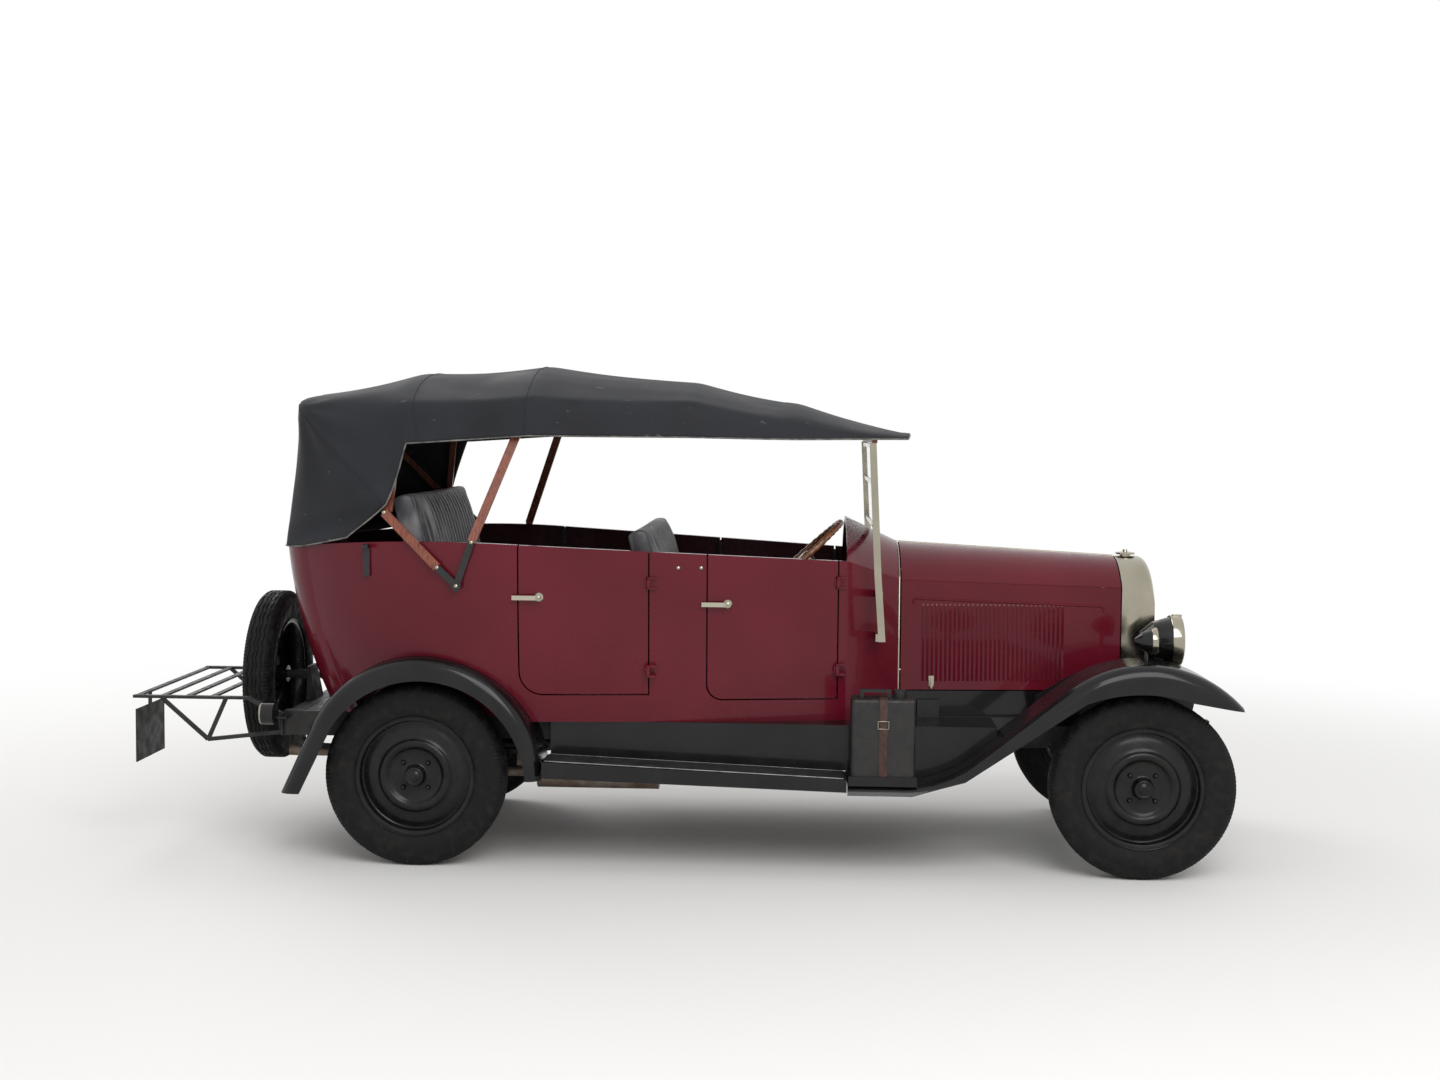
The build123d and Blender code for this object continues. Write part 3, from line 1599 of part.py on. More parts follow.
# Seats: a box, a cushion and a back for each row
seat_rows = (
    # name, front x, back x, half width, cushion top, back top, back's lean, width of the back
    ("front_seat", behind(305), behind(670), 480, 900, 1346, 120, 520),
    ("rear_seat", behind(1180), behind(1580), 478, 900, 1485, 150, 570),
)
cushion_depth = 150
back_thickness = 120
box_setback = 10
floor_top_z = body_bottom_z + floor_thickness
for name, front_x, back_x, half, top_z, back_z, lean, back_half in seat_rows:
    with BuildPart() as seat:
        with Locations(((front_x + back_x) / 2, 0, top_z - cushion_depth)):
            Box(front_x - back_x, 2 * half, cushion_depth, align=(Align.CENTER, Align.CENTER, Align.MIN))
        with Locations(((front_x + back_x) / 2, 0, floor_top_z)):
            Box(
                front_x - back_x - 2 * box_setback,
                2 * half - 2 * box_setback,
                top_z - cushion_depth - floor_top_z,
                align=(Align.CENTER, Align.CENTER, Align.MIN),
            )
        with BuildSketch(Plane.XZ.offset(-back_half)):
            with BuildLine():
                foot_x = back_x + 10
                foot_z = top_z - 10
                Polyline(
                    (foot_x, foot_z),
                    (foot_x - lean, back_z),
                    (foot_x - lean - back_thickness, back_z),
                    (foot_x - back_thickness, foot_z),
                    close=True,
                )
            make_face()
        extrude(amount=2 * back_half)
        with Locations((back_x + 5, 0, floor_top_z)):
            Box(
                back_thickness - box_setback,
                2 * half - 2 * box_setback,
                foot_z + 1 - floor_top_z,
                align=(Align.MAX, Align.CENTER, Align.MIN),
            )
    seat.part.label = name
    export_step(seat.part, f"parts/{name}.step")

# Steering wheel and its column down to the box on the frame
rim_r = 205
rim_tube = 14
spoke_width = 22
spoke_thickness = 8
boss_r = 28
boss_depth = 40
shaft_stub_r = 10
shaft_stub = 30
steering_box = (110, 76, 90)
box_bracket = (90, 110, 150)
column_top = tuple(c - boss_depth * d for c, d in zip(wheel_centre, column_lean))
wheel_plane_top = Plane(origin=wheel_centre, x_dir=(0, 1, 0), z_dir=column_lean)
with BuildPart() as steering_wheel:
    with BuildSketch(Plane(origin=wheel_centre, x_dir=column_lean, z_dir=(0, 1, 0))):
        with Locations((0, rim_r)):
            Circle(rim_tube)
    revolve(axis=Axis(wheel_centre, column_lean))
    with BuildSketch(wheel_plane_top.offset(-spoke_thickness)):
        Circle(boss_r)
        Rectangle(spoke_width, 2 * rim_r)
        Rectangle(2 * rim_r, spoke_width)
    extrude(amount=spoke_thickness)
    with BuildSketch(wheel_plane_top.offset(fit_gap - boss_depth)):
        Circle(boss_r)
    extrude(amount=boss_depth + 6)
    with BuildSketch(wheel_plane_top.offset(-boss_depth - shaft_stub)):
        Circle(shaft_stub_r)
    extrude(amount=shaft_stub + 4)
steering_wheel.part.label = "steering_wheel"
export_step(steering_wheel.part, "parts/steering_wheel.step")

with BuildPart() as steering_column:
    with BuildSketch(bar_plane(column_foot, column_top)):
        Circle(column_diameter / 2)
    extrude(amount=run_length(column_foot, column_top))
    with BuildSketch(wheel_plane_top.offset(-boss_depth - shaft_stub - 10)):
        Circle(shaft_stub_r + fit_gap)
    extrude(amount=shaft_stub + 30, mode=Mode.SUBTRACT)
    with Locations(column_foot):
        Box(*steering_box)
    with Locations((column_foot[0], steering_y - 105, rail_bottom_z + 20)):
        Box(*box_bracket, align=(Align.CENTER, Align.MIN, Align.MIN))
    add(side_aprons.part, mode=Mode.SUBTRACT)
    add(chassis_frame.part, mode=Mode.SUBTRACT)
steering_column.part.label = "steering_column"
export_step(steering_column.part, "parts/steering_column.step")

# Hood: canvas over bows, from the windscreen's header down to the tail
hood_rows = (
    # distance behind the scuttle, edge half-width, shoulder half-width, shoulder z, crown z
    (-240, 560, 540, 1724, 1738),
    (200, 605, 560, 1800, 1866),
    (620, 630, 580, 1850, 1942),
    (1260, 652, 600, 1862, 2008),
    (1790, 640, 585, 1840, 1972),
    (drawn_length - 88, 510, 475, 1815, 1880),
    (drawn_length + 30, 480, 440, 1780, 1830),
)
hood_back_top = (tail_x + 102, 1900)
hood_back_foot = (tail_x - 2, 1240)
hood_edge_rows = (
    # distance behind the scuttle, height of the canvas's side edge
    (-300, 1690),
    (0, 1708),
    (587, 1718),
    (1179, 1716),
    (1513, 1705),
    (1747, 1684),
    (1771, 1656),
    (1827, 1439),
    (1879, 1379),
    (1987, 1306),
    (2000, 1290),
)


def hood_loft(inset):
    sections = []
    for distance, edge_y, shoulder_y, shoulder_z, crown_z in hood_rows:
        with BuildSketch(Plane.YZ.offset(behind(distance))) as section:
            with BuildLine():
                skirt_z = min(hood_skirt_z, shoulder_z - 12)
                Polyline(
                    (shoulder_y - inset, shoulder_z - inset),
                    (edge_y - inset, skirt_z - inset),
                    (edge_y - inset, hood_back_foot[1]),
                    (inset - edge_y, hood_back_foot[1]),
                    (inset - edge_y, skirt_z - inset),
                    (inset - shoulder_y, shoulder_z - inset),
                )
                ThreePointArc(
                    (inset - shoulder_y, shoulder_z - inset),
                    (0, crown_z - inset),
                    (shoulder_y - inset, shoulder_z - inset),
                )
            make_face()
        sections.append(section.sketch)
    return loft(sections, ruled=True, mode=Mode.PRIVATE)


def behind_hood(inset):
    """The space behind the hood's back panel."""
    (top_x, top_z), (foot_x, foot_z) = hood_back_top, hood_back_foot
    with BuildPart(mode=Mode.PRIVATE) as block:
        with BuildSketch(Plane.XZ):
            with BuildLine():
                Polyline(
                    (top_x + inset, top_z + 200),
                    (top_x + inset, top_z),
                    (foot_x + inset, foot_z),
                    (foot_x + inset, foot_z - 200),
                    (top_x - 1000, foot_z - 200),
                    (top_x - 1000, top_z + 200),
                    close=True,
                )
            make_face()
        extrude(amount=wing_edge_y, both=True)
    return block.part


def hood_inside():
    """The space under the canvas, open at the front."""
    with BuildPart(mode=Mode.PRIVATE) as under:
        add(hood_loft(canvas))
        add(behind_hood(canvas), mode=Mode.SUBTRACT)
        with Locations((behind(hood_rows[0][0]) - canvas / 2, 0, hood_skirt_z)):
            Box(
                canvas,
                3 * wing_edge_y,
                wing_edge_y,
                align=(Align.MIN, Align.CENTER, Align.CENTER),
                mode=Mode.SUBTRACT,
            )
    return under.part


def side_openings():
    """The open sides under the canvas's edge, cut right across the car."""
    edge = [(behind(distance), z) for distance, z in hood_edge_rows]
    with BuildPart(mode=Mode.PRIVATE) as block:
        with BuildSketch(Plane.XZ):
            with BuildLine():
                Polyline(*edge, (edge[-1][0], body_bottom_z), (edge[0][0], body_bottom_z), close=True)
            make_face()
        extrude(amount=wing_edge_y, both=True)
    return block.part


def below_waist():
    """Everything under the body's top edge, with a gap for the canvas to rest on it."""
    with BuildPart(mode=Mode.PRIVATE) as block:
        with Locations((0, 0, 2200)):
            Box(
                2 * overall_length,
                4 * wing_edge_y,
                2200,
                align=(Align.CENTER, Align.CENTER, Align.MAX),
            )
        add(above_waist(fit_gap), mode=Mode.SUBTRACT)
    return block.part


with BuildPart() as hood_canvas:
    add(hood_loft(0))
    add(behind_hood(0), mode=Mode.SUBTRACT)
    add(hood_inside(), mode=Mode.SUBTRACT)
    add(side_openings(), mode=Mode.SUBTRACT)
    add(below_waist(), mode=Mode.SUBTRACT)
hood_canvas.part.label = "hood_canvas"
export_step(hood_canvas.part, "parts/hood_canvas.step")

# Hood frame: a header on the windscreen, bows under the canvas, wooden side sticks, black irons
bow_distances = (620, 1260, 1790, drawn_length - 125)
header_distance = -100
bow_width = 22
bow_thickness = 16
bow_gap = canvas + 2.6
header_gap = canvas + 5


def hood_section(distance):
    """The canvas's shoulder half-width, shoulder height and crown height at a distance."""
    for front, rear in zip(hood_rows, hood_rows[1:]):
        if front[0] <= distance <= rear[0]:
            share = (distance - front[0]) / (rear[0] - front[0])
            return [a + share * (b - a) for a, b in zip(front[2:], rear[2:])]


def bow(distance):
    shoulder_y, shoulder_z, crown_z = hood_section(distance)
    with BuildPart(mode=Mode.PRIVATE) as arc:
        with BuildSketch(Plane.YZ.offset(behind(distance) - bow_width / 2)):
            with BuildLine():
                for drop in (bow_gap, bow_gap + bow_thickness):
                    ThreePointArc(
                        (drop - shoulder_y, shoulder_z - drop),
                        (0, crown_z - drop),
                        (shoulder_y - drop, shoulder_z - drop),
                    )
                for hand in (1, -1):
                    Line(
                        (hand * (shoulder_y - bow_gap), shoulder_z - bow_gap),
                        (
                            hand * (shoulder_y - bow_gap - bow_thickness),
                            shoulder_z - bow_gap - bow_thickness,
                        ),
                    )
            make_face()
        extrude(amount=bow_width)
    return arc.part


def header():
    """The board over the windscreen that the canvas's front edge is tacked to, arched on top."""
    shoulder_y, shoulder_z, crown_z = hood_section(header_distance)
    half = shoulder_y - header_gap
    board = arch(
        behind(header_distance) - bow_width / 2,
        half,
        post_points[-1][1] + fit_gap,
        half,
        shoulder_z - header_gap,
        crown_z - header_gap,
    )
    with BuildPart(mode=Mode.PRIVATE) as wood:
        extrude(board, amount=bow_width)
    return wood.part


def stick(start, end, width, thickness):
    """A straight bar, its width in the car's side view and its thickness across the car."""
    run = Vector(*end) - Vector(*start)
    face = Plane(origin=start, x_dir=run.cross(Vector(0, 1, 0)).normalized(), z_dir=run.normalized())
    with BuildPart(mode=Mode.PRIVATE) as wood:
        with BuildSketch(face):
            Rectangle(width, thickness)
        extrude(amount=run.length)
    return wood.part


pivot = (behind(1529), 730, 1129)
main_knee = (pivot[0] + 59, 730, 1300)
main_top = (behind(bow_distances[1]) - 10, 570, 1838)
rear_foot = (pivot[0] - 76, 730, 1200)
rear_knee = (pivot[0] - 297, 676, 1410)
inner_knee = (rear_knee[0], 594, rear_knee[2])
third_bow_end = (behind(bow_distances[2]) + 8, 558, 1824)
last_bow_end = (behind(bow_distances[3]), 462, 1800)
stick_width = 34
inner_stick_width = 26
stick_thickness = 14
knee_pin_r = 8
iron_width = 26
iron_thickness = 12
pivot_disc_r = 20
pivot_boss = 60
rest_x = behind(1905)
rest_z = (1156, 1282)
rest_width = 26
rest_plate = 12
rest_reach = 45
rest_prong = 14
with BuildPart() as hood_sticks:
    add(stick(main_knee, main_top, stick_width, stick_thickness))
    add(stick(rear_foot, rear_knee, stick_width, stick_thickness))
    add(stick(inner_knee, third_bow_end, inner_stick_width, stick_thickness))
    add(stick(inner_knee, last_bow_end, inner_stick_width, stick_thickness))
    with Locations(Location(inner_knee, (-90, 0, 0))):
        Cylinder(
            knee_pin_r,
            rear_knee[1] - inner_knee[1],
            align=(Align.CENTER, Align.CENTER, Align.MIN),
        )
    mirror(about=Plane.XZ)
    for distance in bow_distances:
        add(bow(distance))
    add(header())
hood_sticks.part.label = "hood_sticks"
export_step(hood_sticks.part, "parts/hood_sticks.step")

with BuildPart() as hood_irons:
    with Locations(Location(pivot, (-90, 0, 0))):
        Cylinder(pivot_disc_r, rest_plate, align=(Align.CENTER, Align.CENTER, Align.MIN))
        Cylinder(pivot_disc_r - 4, pivot_boss, align=(Align.CENTER, Align.CENTER, Align.MAX))
    add(stick(pivot, main_knee, iron_width, iron_thickness))
    add(stick(pivot, rear_foot, iron_width, iron_thickness))
    rest_y = body_side_y(rest_x, sum(rest_z) / 2)
    with Locations((rest_x, rest_y, rest_z[0])):
        Box(
            rest_width,
            2 * rest_plate,
            rest_z[1] - rest_z[0],
            align=(Align.CENTER, Align.CENTER, Align.MIN),
        )
    with Locations((rest_x, rest_y, rest_z[1] - rest_prong)):
        Box(rest_width, 2 * rest_reach, rest_prong, align=(Align.CENTER, Align.CENTER, Align.MIN))
    mirror(about=Plane.XZ)
    add(tub_outer(), mode=Mode.SUBTRACT)
    add(hood_sticks.part, mode=Mode.SUBTRACT)
hood_irons.part.label = "hood_irons"
export_step(hood_irons.part, "parts/hood_irons.step")

# Luggage rack: side bars from the rail ends, slats, braces, and the blank number board
rack_y = rear_rail_y + rail_half
rack_z = spare_z - 40
rack_bar = 24
bar_thickness = 12
slat_thickness = 8
slat_count = 4
rack_rear_x = -overall_length / 2
rack_front_x = spare_x + 12
slat_rear_x = rack_rear_x + rack_bar / 2
slat_front_x = spare_x - tyre_width / 2 - 88
slat_xs = [slat_rear_x + i * (slat_front_x - slat_rear_x) / (slat_count - 1) for i in range(slat_count)]
brace_foot = (slat_front_x - 15, 456)
board_x = rack_rear_x + 14
board_y = -300
board_width = 320
board_low_z = 358
board_high_z = 578
with BuildPart() as luggage_rack:
    with BuildSketch(Plane.XZ.offset(-(rack_y - rack_bar / 2))):
        with BuildLine():
            Polyline(
                (rack_rear_x, rack_z - bar_thickness / 2),
                (rack_rear_x, rack_z + bar_thickness / 2),
                (rack_front_x, rack_z + bar_thickness / 2),
                (rail_rear_x, rail_top_z - 10),
                (rail_rear_x, rail_top_z - 40),
                (rack_front_x - 10, rack_z - bar_thickness / 2),
                close=True,
            )
        make_face()
    extrude(amount=-rack_bar)
    mirror(about=Plane.XZ)
    for x in slat_xs:
        with Locations((x, 0, rack_z)):
            Box(rack_bar, 2 * rack_y, slat_thickness)
    for y in (rack_y, -rack_y):
        foot = (brace_foot[0], y, brace_foot[1])
        add(stick((rail_rear_x - 8, y, rail_bottom_z + 12), foot, 16, bar_thickness))
        add(stick((slat_xs[-1] + 60, y, rack_z - 4), foot, 16, bar_thickness))
        add(stick(foot, (slat_xs[1], y, rack_z - 4), 16, bar_thickness))
        with Locations((rail_rear_x, y, rail_bottom_z)):
            Box(10, rack_bar, rail_height - 12, align=(Align.MAX, Align.CENTER, Align.MIN))
    with Locations((board_x, board_y, rack_z)):
        Box(6, 30, rack_z - board_high_z + 10, align=(Align.CENTER, Align.CENTER, Align.MAX))
    with Locations((board_x, board_y, board_low_z)):
        Box(
            4,
            board_width,
            board_high_z - board_low_z,
            align=(Align.CENTER, Align.CENTER, Align.MIN),
        )
luggage_rack.part.label = "luggage_rack"
export_step(luggage_rack.part, "parts/luggage_rack.step")

# Petrol can in its tray on the wing's flat tail, off side of the car only
can_round = 18
filler_r = 26
filler_height = 30
can_grip = (120, 24, 34)
with BuildPart() as petrol_can:
    with Locations((*can_middle, can_low_z)):
        Box(
            can_length,
            can_y[1] - can_y[0],
            can_high_z - can_low_z,
            align=(Align.CENTER, Align.CENTER, Align.MIN),
        )
    fillet(petrol_can.edges().filter_by(Axis.Z), can_round)
    fillet(petrol_can.faces().sort_by(Axis.Z)[-1].edges(), can_round - 6)
    with Locations((can_x[1] - 60, can_middle[1], can_high_z)):
        Cylinder(filler_r, filler_height, align=(Align.CENTER, Align.CENTER, Align.MIN))
    with Locations((can_middle[0] - 30, can_middle[1], can_high_z - 2)):
        Box(*can_grip, align=(Align.CENTER, Align.CENTER, Align.MIN))
        Box(
            can_grip[0] - 30,
            can_grip[1] + 6,
            can_grip[2] - 12,
            align=(Align.CENTER, Align.CENTER, Align.MIN),
            mode=Mode.SUBTRACT,
        )
petrol_can.part.label = "petrol_can"
export_step(petrol_can.part, "parts/petrol_can.step")
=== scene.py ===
import math

import bmesh
import bpy
from mathutils import Matrix, Vector, noise


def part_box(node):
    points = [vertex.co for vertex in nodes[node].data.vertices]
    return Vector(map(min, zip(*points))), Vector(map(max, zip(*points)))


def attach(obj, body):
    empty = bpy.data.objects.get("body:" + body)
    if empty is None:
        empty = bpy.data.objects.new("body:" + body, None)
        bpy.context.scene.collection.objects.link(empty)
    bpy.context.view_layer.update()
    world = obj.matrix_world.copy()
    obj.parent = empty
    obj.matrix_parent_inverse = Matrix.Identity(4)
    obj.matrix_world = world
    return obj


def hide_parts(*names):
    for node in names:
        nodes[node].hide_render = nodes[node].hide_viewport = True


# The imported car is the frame. Everything below is in metres, +X forward, +Y to the car's left.
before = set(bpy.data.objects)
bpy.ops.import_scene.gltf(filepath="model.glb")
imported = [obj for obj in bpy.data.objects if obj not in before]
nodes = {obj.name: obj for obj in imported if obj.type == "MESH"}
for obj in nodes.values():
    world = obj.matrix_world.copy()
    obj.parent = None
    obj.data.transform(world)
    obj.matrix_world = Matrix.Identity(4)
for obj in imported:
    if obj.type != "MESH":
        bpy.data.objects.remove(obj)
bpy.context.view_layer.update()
scene = bpy.context.scene


# Camera: at eye level on the car's right, a little ahead of its middle, with a slight roll.
# Its place, angles and lens are fitted to the photograph's frame.
def facing(x_axis, y_axis, z_axis, origin):
    """The matrix that turns a piece to these axes and moves it to a place."""
    return Matrix.Translation(origin) @ Matrix((x_axis, y_axis, z_axis)).transposed().to_4x4()


yaw, pitch, roll = (math.radians(angle) for angle in (-2.651, -3.581, 0.528))
aim = Vector((math.sin(yaw) * math.cos(pitch), math.cos(yaw) * math.cos(pitch), math.sin(pitch)))
level = Vector((math.cos(yaw), -math.sin(yaw), 0))
upright = level.cross(aim)
camera_right = level * math.cos(roll) + upright * math.sin(roll)
camera_up = upright * math.cos(roll) - level * math.sin(roll)
camera_place = (0.518, -7.594, 1.751)
camera_data = bpy.data.cameras.new("camera")
camera_data.sensor_width = 36
camera_data.lens = 44.43
camera = bpy.data.objects.new("camera", camera_data)
scene.collection.objects.link(camera)
camera.matrix_world = facing(camera_right, camera_up, -aim, camera_place)
scene.camera = camera
scene.view_settings.view_transform = "Standard"


# Light: an overcast sky, brightest overhead, a broad soft lamp above the camera and a weaker one
# behind the car. The camera, glass and metal see the sky as plain white.
def linear(code):
    """An sRGB hex colour as the linear RGBA that a shader takes."""
    channels = [int(code[i : i + 2], 16) / 255 for i in (1, 3, 5)]
    return [c / 12.92 if c <= 0.04045 else ((c + 0.055) / 1.055) ** 2.4 for c in channels] + [1]


def add_node(tree, kind, inputs=None, **settings):
    """A shader node; inputs maps a socket to a value, or to the output that feeds it."""
    node = tree.nodes.new(kind)
    for name, value in settings.items():
        setattr(node, name, value)
    for slot, value in (inputs or {}).items():
        if isinstance(value, bpy.types.NodeSocket):
            tree.links.new(value, node.inputs[slot])
        else:
            node.inputs[slot].default_value = value
    return node


def seen_rays(tree):
    """1 on rays by which the camera, glass or metal sees a surface, 0 on rays that only light it."""
    ray = add_node(tree, "ShaderNodeLightPath")
    seen = ray.outputs["Is Camera Ray"]
    for kind in ("Is Transmission Ray", "Is Glossy Ray"):
        either = add_node(tree, "ShaderNodeMath", {0: seen, 1: ray.outputs[kind]}, operation="MAXIMUM")
        seen = either.outputs[0]
    return seen


white = linear("#ffffff")
world = bpy.data.worlds.new("soft sky")
scene.world = world
world.use_nodes = True
sky = world.node_tree
sky_place = add_node(sky, "ShaderNodeTexCoord")
sky_height = add_node(sky, "ShaderNodeSeparateXYZ", {0: sky_place.outputs["Generated"]})
sky_ramp = add_node(sky, "ShaderNodeMapRange", {0: sky_height.outputs["Z"], 1: -0.05, 2: 0.45})
sky_colour = add_node(
    sky, "ShaderNodeMix", {0: sky_ramp.outputs[0], 6: linear("#dcdcda"), 7: white}, data_type="RGBA"
)
sky_seen = seen_rays(sky)
sky_strength = add_node(sky, "ShaderNodeMapRange", {0: sky_seen, 3: 0.75, 4: 1.0})
sky_shown = add_node(
    sky, "ShaderNodeMix", {0: sky_seen, 6: sky_colour.outputs[2], 7: white}, data_type="RGBA"
)
sky.links.new(sky_shown.outputs[2], sky.nodes["Background"].inputs["Color"])
sky.links.new(sky_strength.outputs[0], sky.nodes["Background"].inputs["Strength"])
lamp_target = Vector((0, 0, 0.8))
for lamp_name, lamp_place, lamp_size, lamp_power in (
    # name, place, size in metres, power in watts
    ("key_lamp", (2.5, -6.5, 6.0), 5.0, 330),
    ("back_lamp", (-4.0, 5.0, 5.5), 4.0, 140),
):
    lamp_data = bpy.data.lights.new(lamp_name, "AREA")
    lamp_data.size = lamp_size
    lamp_data.energy = lamp_power
    lamp = bpy.data.objects.new(lamp_name, lamp_data)
    scene.collection.objects.link(lamp)
    lamp.location = lamp_place
    lamp.rotation_euler = (lamp_target - lamp.location).to_track_quat("-Z", "Y").to_euler()


# Floor: matt pale grey paint under the car, where it keeps the shadow. Some metres out it fades to
# white, for the camera, glass and metal alone.
def put(name, vertices, faces, material, body="root", smooth=True):
    """A mesh piece in the car's frame that rides on a body."""
    mesh = bpy.data.meshes.new(name)
    mesh.from_pydata([tuple(v) for v in vertices], [], faces)
    mesh.validate()
    work = bmesh.new()
    work.from_mesh(mesh)
    bmesh.ops.recalc_face_normals(work, faces=work.faces)
    work.to_mesh(mesh)
    work.free()
    mesh.materials.append(material)
    if smooth:
        mesh.shade_smooth()
    piece = bpy.data.objects.new(name, mesh)
    scene.collection.objects.link(piece)
    if body:
        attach(piece, body)
    return piece


def material_of(name, **shader):
    """A new material; shader values are set on the Principled shader's own sockets."""
    material = bpy.data.materials.new(name)
    material.use_nodes = True
    surface = material.node_tree.nodes["Principled BSDF"]
    for socket, value in shader.items():
        surface.inputs[socket.replace("_", " ")].default_value = value
    return material


floor_half, fade_from, fade_to = 60, 2.8, 7.0
floor_paint = material_of("pale floor", Base_Color=linear("#ecebe9"), Roughness=0.9)
floor_tree = floor_paint.node_tree
floor_place = add_node(floor_tree, "ShaderNodeNewGeometry")
floor_reach = add_node(
    floor_tree, "ShaderNodeVectorMath", {0: floor_place.outputs["Position"]}, operation="LENGTH"
)
floor_far = add_node(
    floor_tree, "ShaderNodeMapRange", {0: floor_reach.outputs["Value"], 1: fade_from, 2: fade_to},
    interpolation_type="SMOOTHSTEP",
)
floor_seen = seen_rays(floor_tree)
floor_share = add_node(
    floor_tree, "ShaderNodeMath", {0: floor_far.outputs[0], 1: floor_seen}, operation="MULTIPLY"
)
floor_white = add_node(floor_tree, "ShaderNodeEmission", {"Color": white, "Strength": 1.0})
floor_grey = floor_tree.nodes["Principled BSDF"]
floor_mix = add_node(
    floor_tree,
    "ShaderNodeMixShader",
    {0: floor_share.outputs[0], 1: floor_grey.outputs[0], 2: floor_white.outputs[0]},
)
floor_tree.links.new(floor_mix.outputs[0], floor_tree.nodes["Material Output"].inputs["Surface"])
floor_corners = [(-1, -1, 0), (1, -1, 0), (1, 1, 0), (-1, 1, 0)]
floor = put("floor", floor_corners, [(0, 1, 2, 3)], floor_paint, body=None)
floor.scale = (floor_half, floor_half, 1)


# Body panels: sheet steel over an ash frame, sprayed with maroon coach enamel and polished.
# The doors, bonnet and scuttle wear the same paint; inside, dark red leathercloth covers the walls.
def feed(material, socket, output):
    """Lead a node's output to one of the shader's sockets."""
    tree = material.node_tree
    tree.links.new(output, tree.nodes["Principled BSDF"].inputs[socket])


def speckle(material, size_mm, detail=3, stretch=(1, 1, 1)):
    """A noise pattern in the piece's own space whose patches are about size_mm wide."""
    tree = material.node_tree
    place = add_node(tree, "ShaderNodeTexCoord")
    scaled = add_node(tree, "ShaderNodeMapping", {0: place.outputs["Object"], 3: stretch})
    found = add_node(tree, "ShaderNodeTexNoise", {0: scaled.outputs[0], 2: 1000 / size_mm, 3: detail})
    return found.outputs[0]


def between(material, share, low, high, low_at=0.35, high_at=0.65):
    """Map a pattern onto a range of numbers, or onto two colours given as hex."""
    tree = material.node_tree
    if isinstance(low, str):
        ranged = add_node(tree, "ShaderNodeMapRange", {0: share, 1: low_at, 2: high_at})
        mixture = {0: ranged.outputs[0], 6: linear(low), 7: linear(high)}
        return add_node(tree, "ShaderNodeMix", mixture, data_type="RGBA").outputs[2]
    ranged = add_node(tree, "ShaderNodeMapRange", {0: share, 1: low_at, 2: high_at, 3: low, 4: high})
    return ranged.outputs[0]


def raise_bump(material, pattern, height_mm, strength=1.0):
    """Feed a pattern to the shader as relief of a height in millimetres."""
    bump = add_node(
        material.node_tree,
        "ShaderNodeBump",
        {"Height": pattern, "Distance": height_mm / 1000, "Strength": strength},
    )
    feed(material, "Normal", bump.outputs[0])


def inward(material):
    """1 on faces that look towards the car's middle, 0 on those that look out or along it."""
    tree = material.node_tree
    place = add_node(tree, "ShaderNodeTexCoord")
    at = add_node(tree, "ShaderNodeSeparateXYZ", {0: place.outputs["Object"]})
    normal = add_node(tree, "ShaderNodeSeparateXYZ", {0: place.outputs["Normal"]})
    side = add_node(tree, "ShaderNodeMath", {0: at.outputs["Y"]}, operation="SIGN")
    faces = {0: side.outputs[0], 1: normal.outputs["Y"]}
    out = add_node(tree, "ShaderNodeMath", faces, operation="MULTIPLY")
    turned_in = {0: out.outputs[0], 1: -0.5}
    return add_node(tree, "ShaderNodeMath", turned_in, operation="LESS_THAN").outputs[0]


def lever_mask(material, beyond, height, half_band=0.016):
    """1 on the plated lever that stands off a door: farther out than its skin, near a height."""
    tree = material.node_tree
    place = add_node(tree, "ShaderNodeTexCoord")
    at = add_node(tree, "ShaderNodeSeparateXYZ", {0: place.outputs["Object"]})
    out = add_node(tree, "ShaderNodeMath", {0: at.outputs["Y"]}, operation="ABSOLUTE")
    far = add_node(tree, "ShaderNodeMath", {0: out.outputs[0], 1: beyond}, operation="GREATER_THAN")
    band = {0: at.outputs["Z"], 1: height, 2: half_band}
    near = add_node(tree, "ShaderNodeMath", band, operation="COMPARE")
    both = {0: far.outputs[0], 1: near.outputs[0]}
    return add_node(tree, "ShaderNodeMath", both, operation="MULTIPLY").outputs[0]


def coach_paint(name, lined, lever=None):
    """Deep gloss enamel: the eye sees a clear coat over colour, a little orange peel, faint dust."""
    material = material_of(name, Specular_IOR_Level=0.15, Coat_Weight=0.25, Coat_Roughness=0.04)
    tree = material.node_tree
    colour = between(material, speckle(material, 400, 2), "#580d1c", "#611121")
    rough = between(material, speckle(material, 60), 0.2, 0.3)
    if lined:
        inside = inward(material)
        cloth = between(material, speckle(material, 30), "#2e0f17", "#3c1620")
        lining = {0: inside, 6: colour, 7: cloth}
        colour = add_node(tree, "ShaderNodeMix", lining, data_type="RGBA").outputs[2]
        rough = add_node(tree, "ShaderNodeMix", {0: inside, 2: rough, 3: 0.62}).outputs[0]
    if lever:
        plated = lever_mask(material, *lever)
        plating = {0: plated, 6: colour, 7: linear("#b4ae9e")}
        colour = add_node(tree, "ShaderNodeMix", plating, data_type="RGBA").outputs[2]
        rough = add_node(tree, "ShaderNodeMix", {0: plated, 2: rough, 3: 0.16}).outputs[0]
        feed(material, "Metallic", plated)
    feed(material, "Base Color", colour)
    feed(material, "Roughness", rough)
    raise_bump(material, speckle(material, 6, 2), 0.012)
    return material


maroon_enamel = coach_paint("maroon coach enamel", False)
lined_enamel = coach_paint("maroon coach enamel with leathercloth inside", True)


def finish_nodes(material, *names):
    """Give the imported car's own nodes, which stay in view, their finish."""
    for name in names:
        node_materials = nodes[name].data.materials
        node_materials.clear()
        node_materials.append(material)


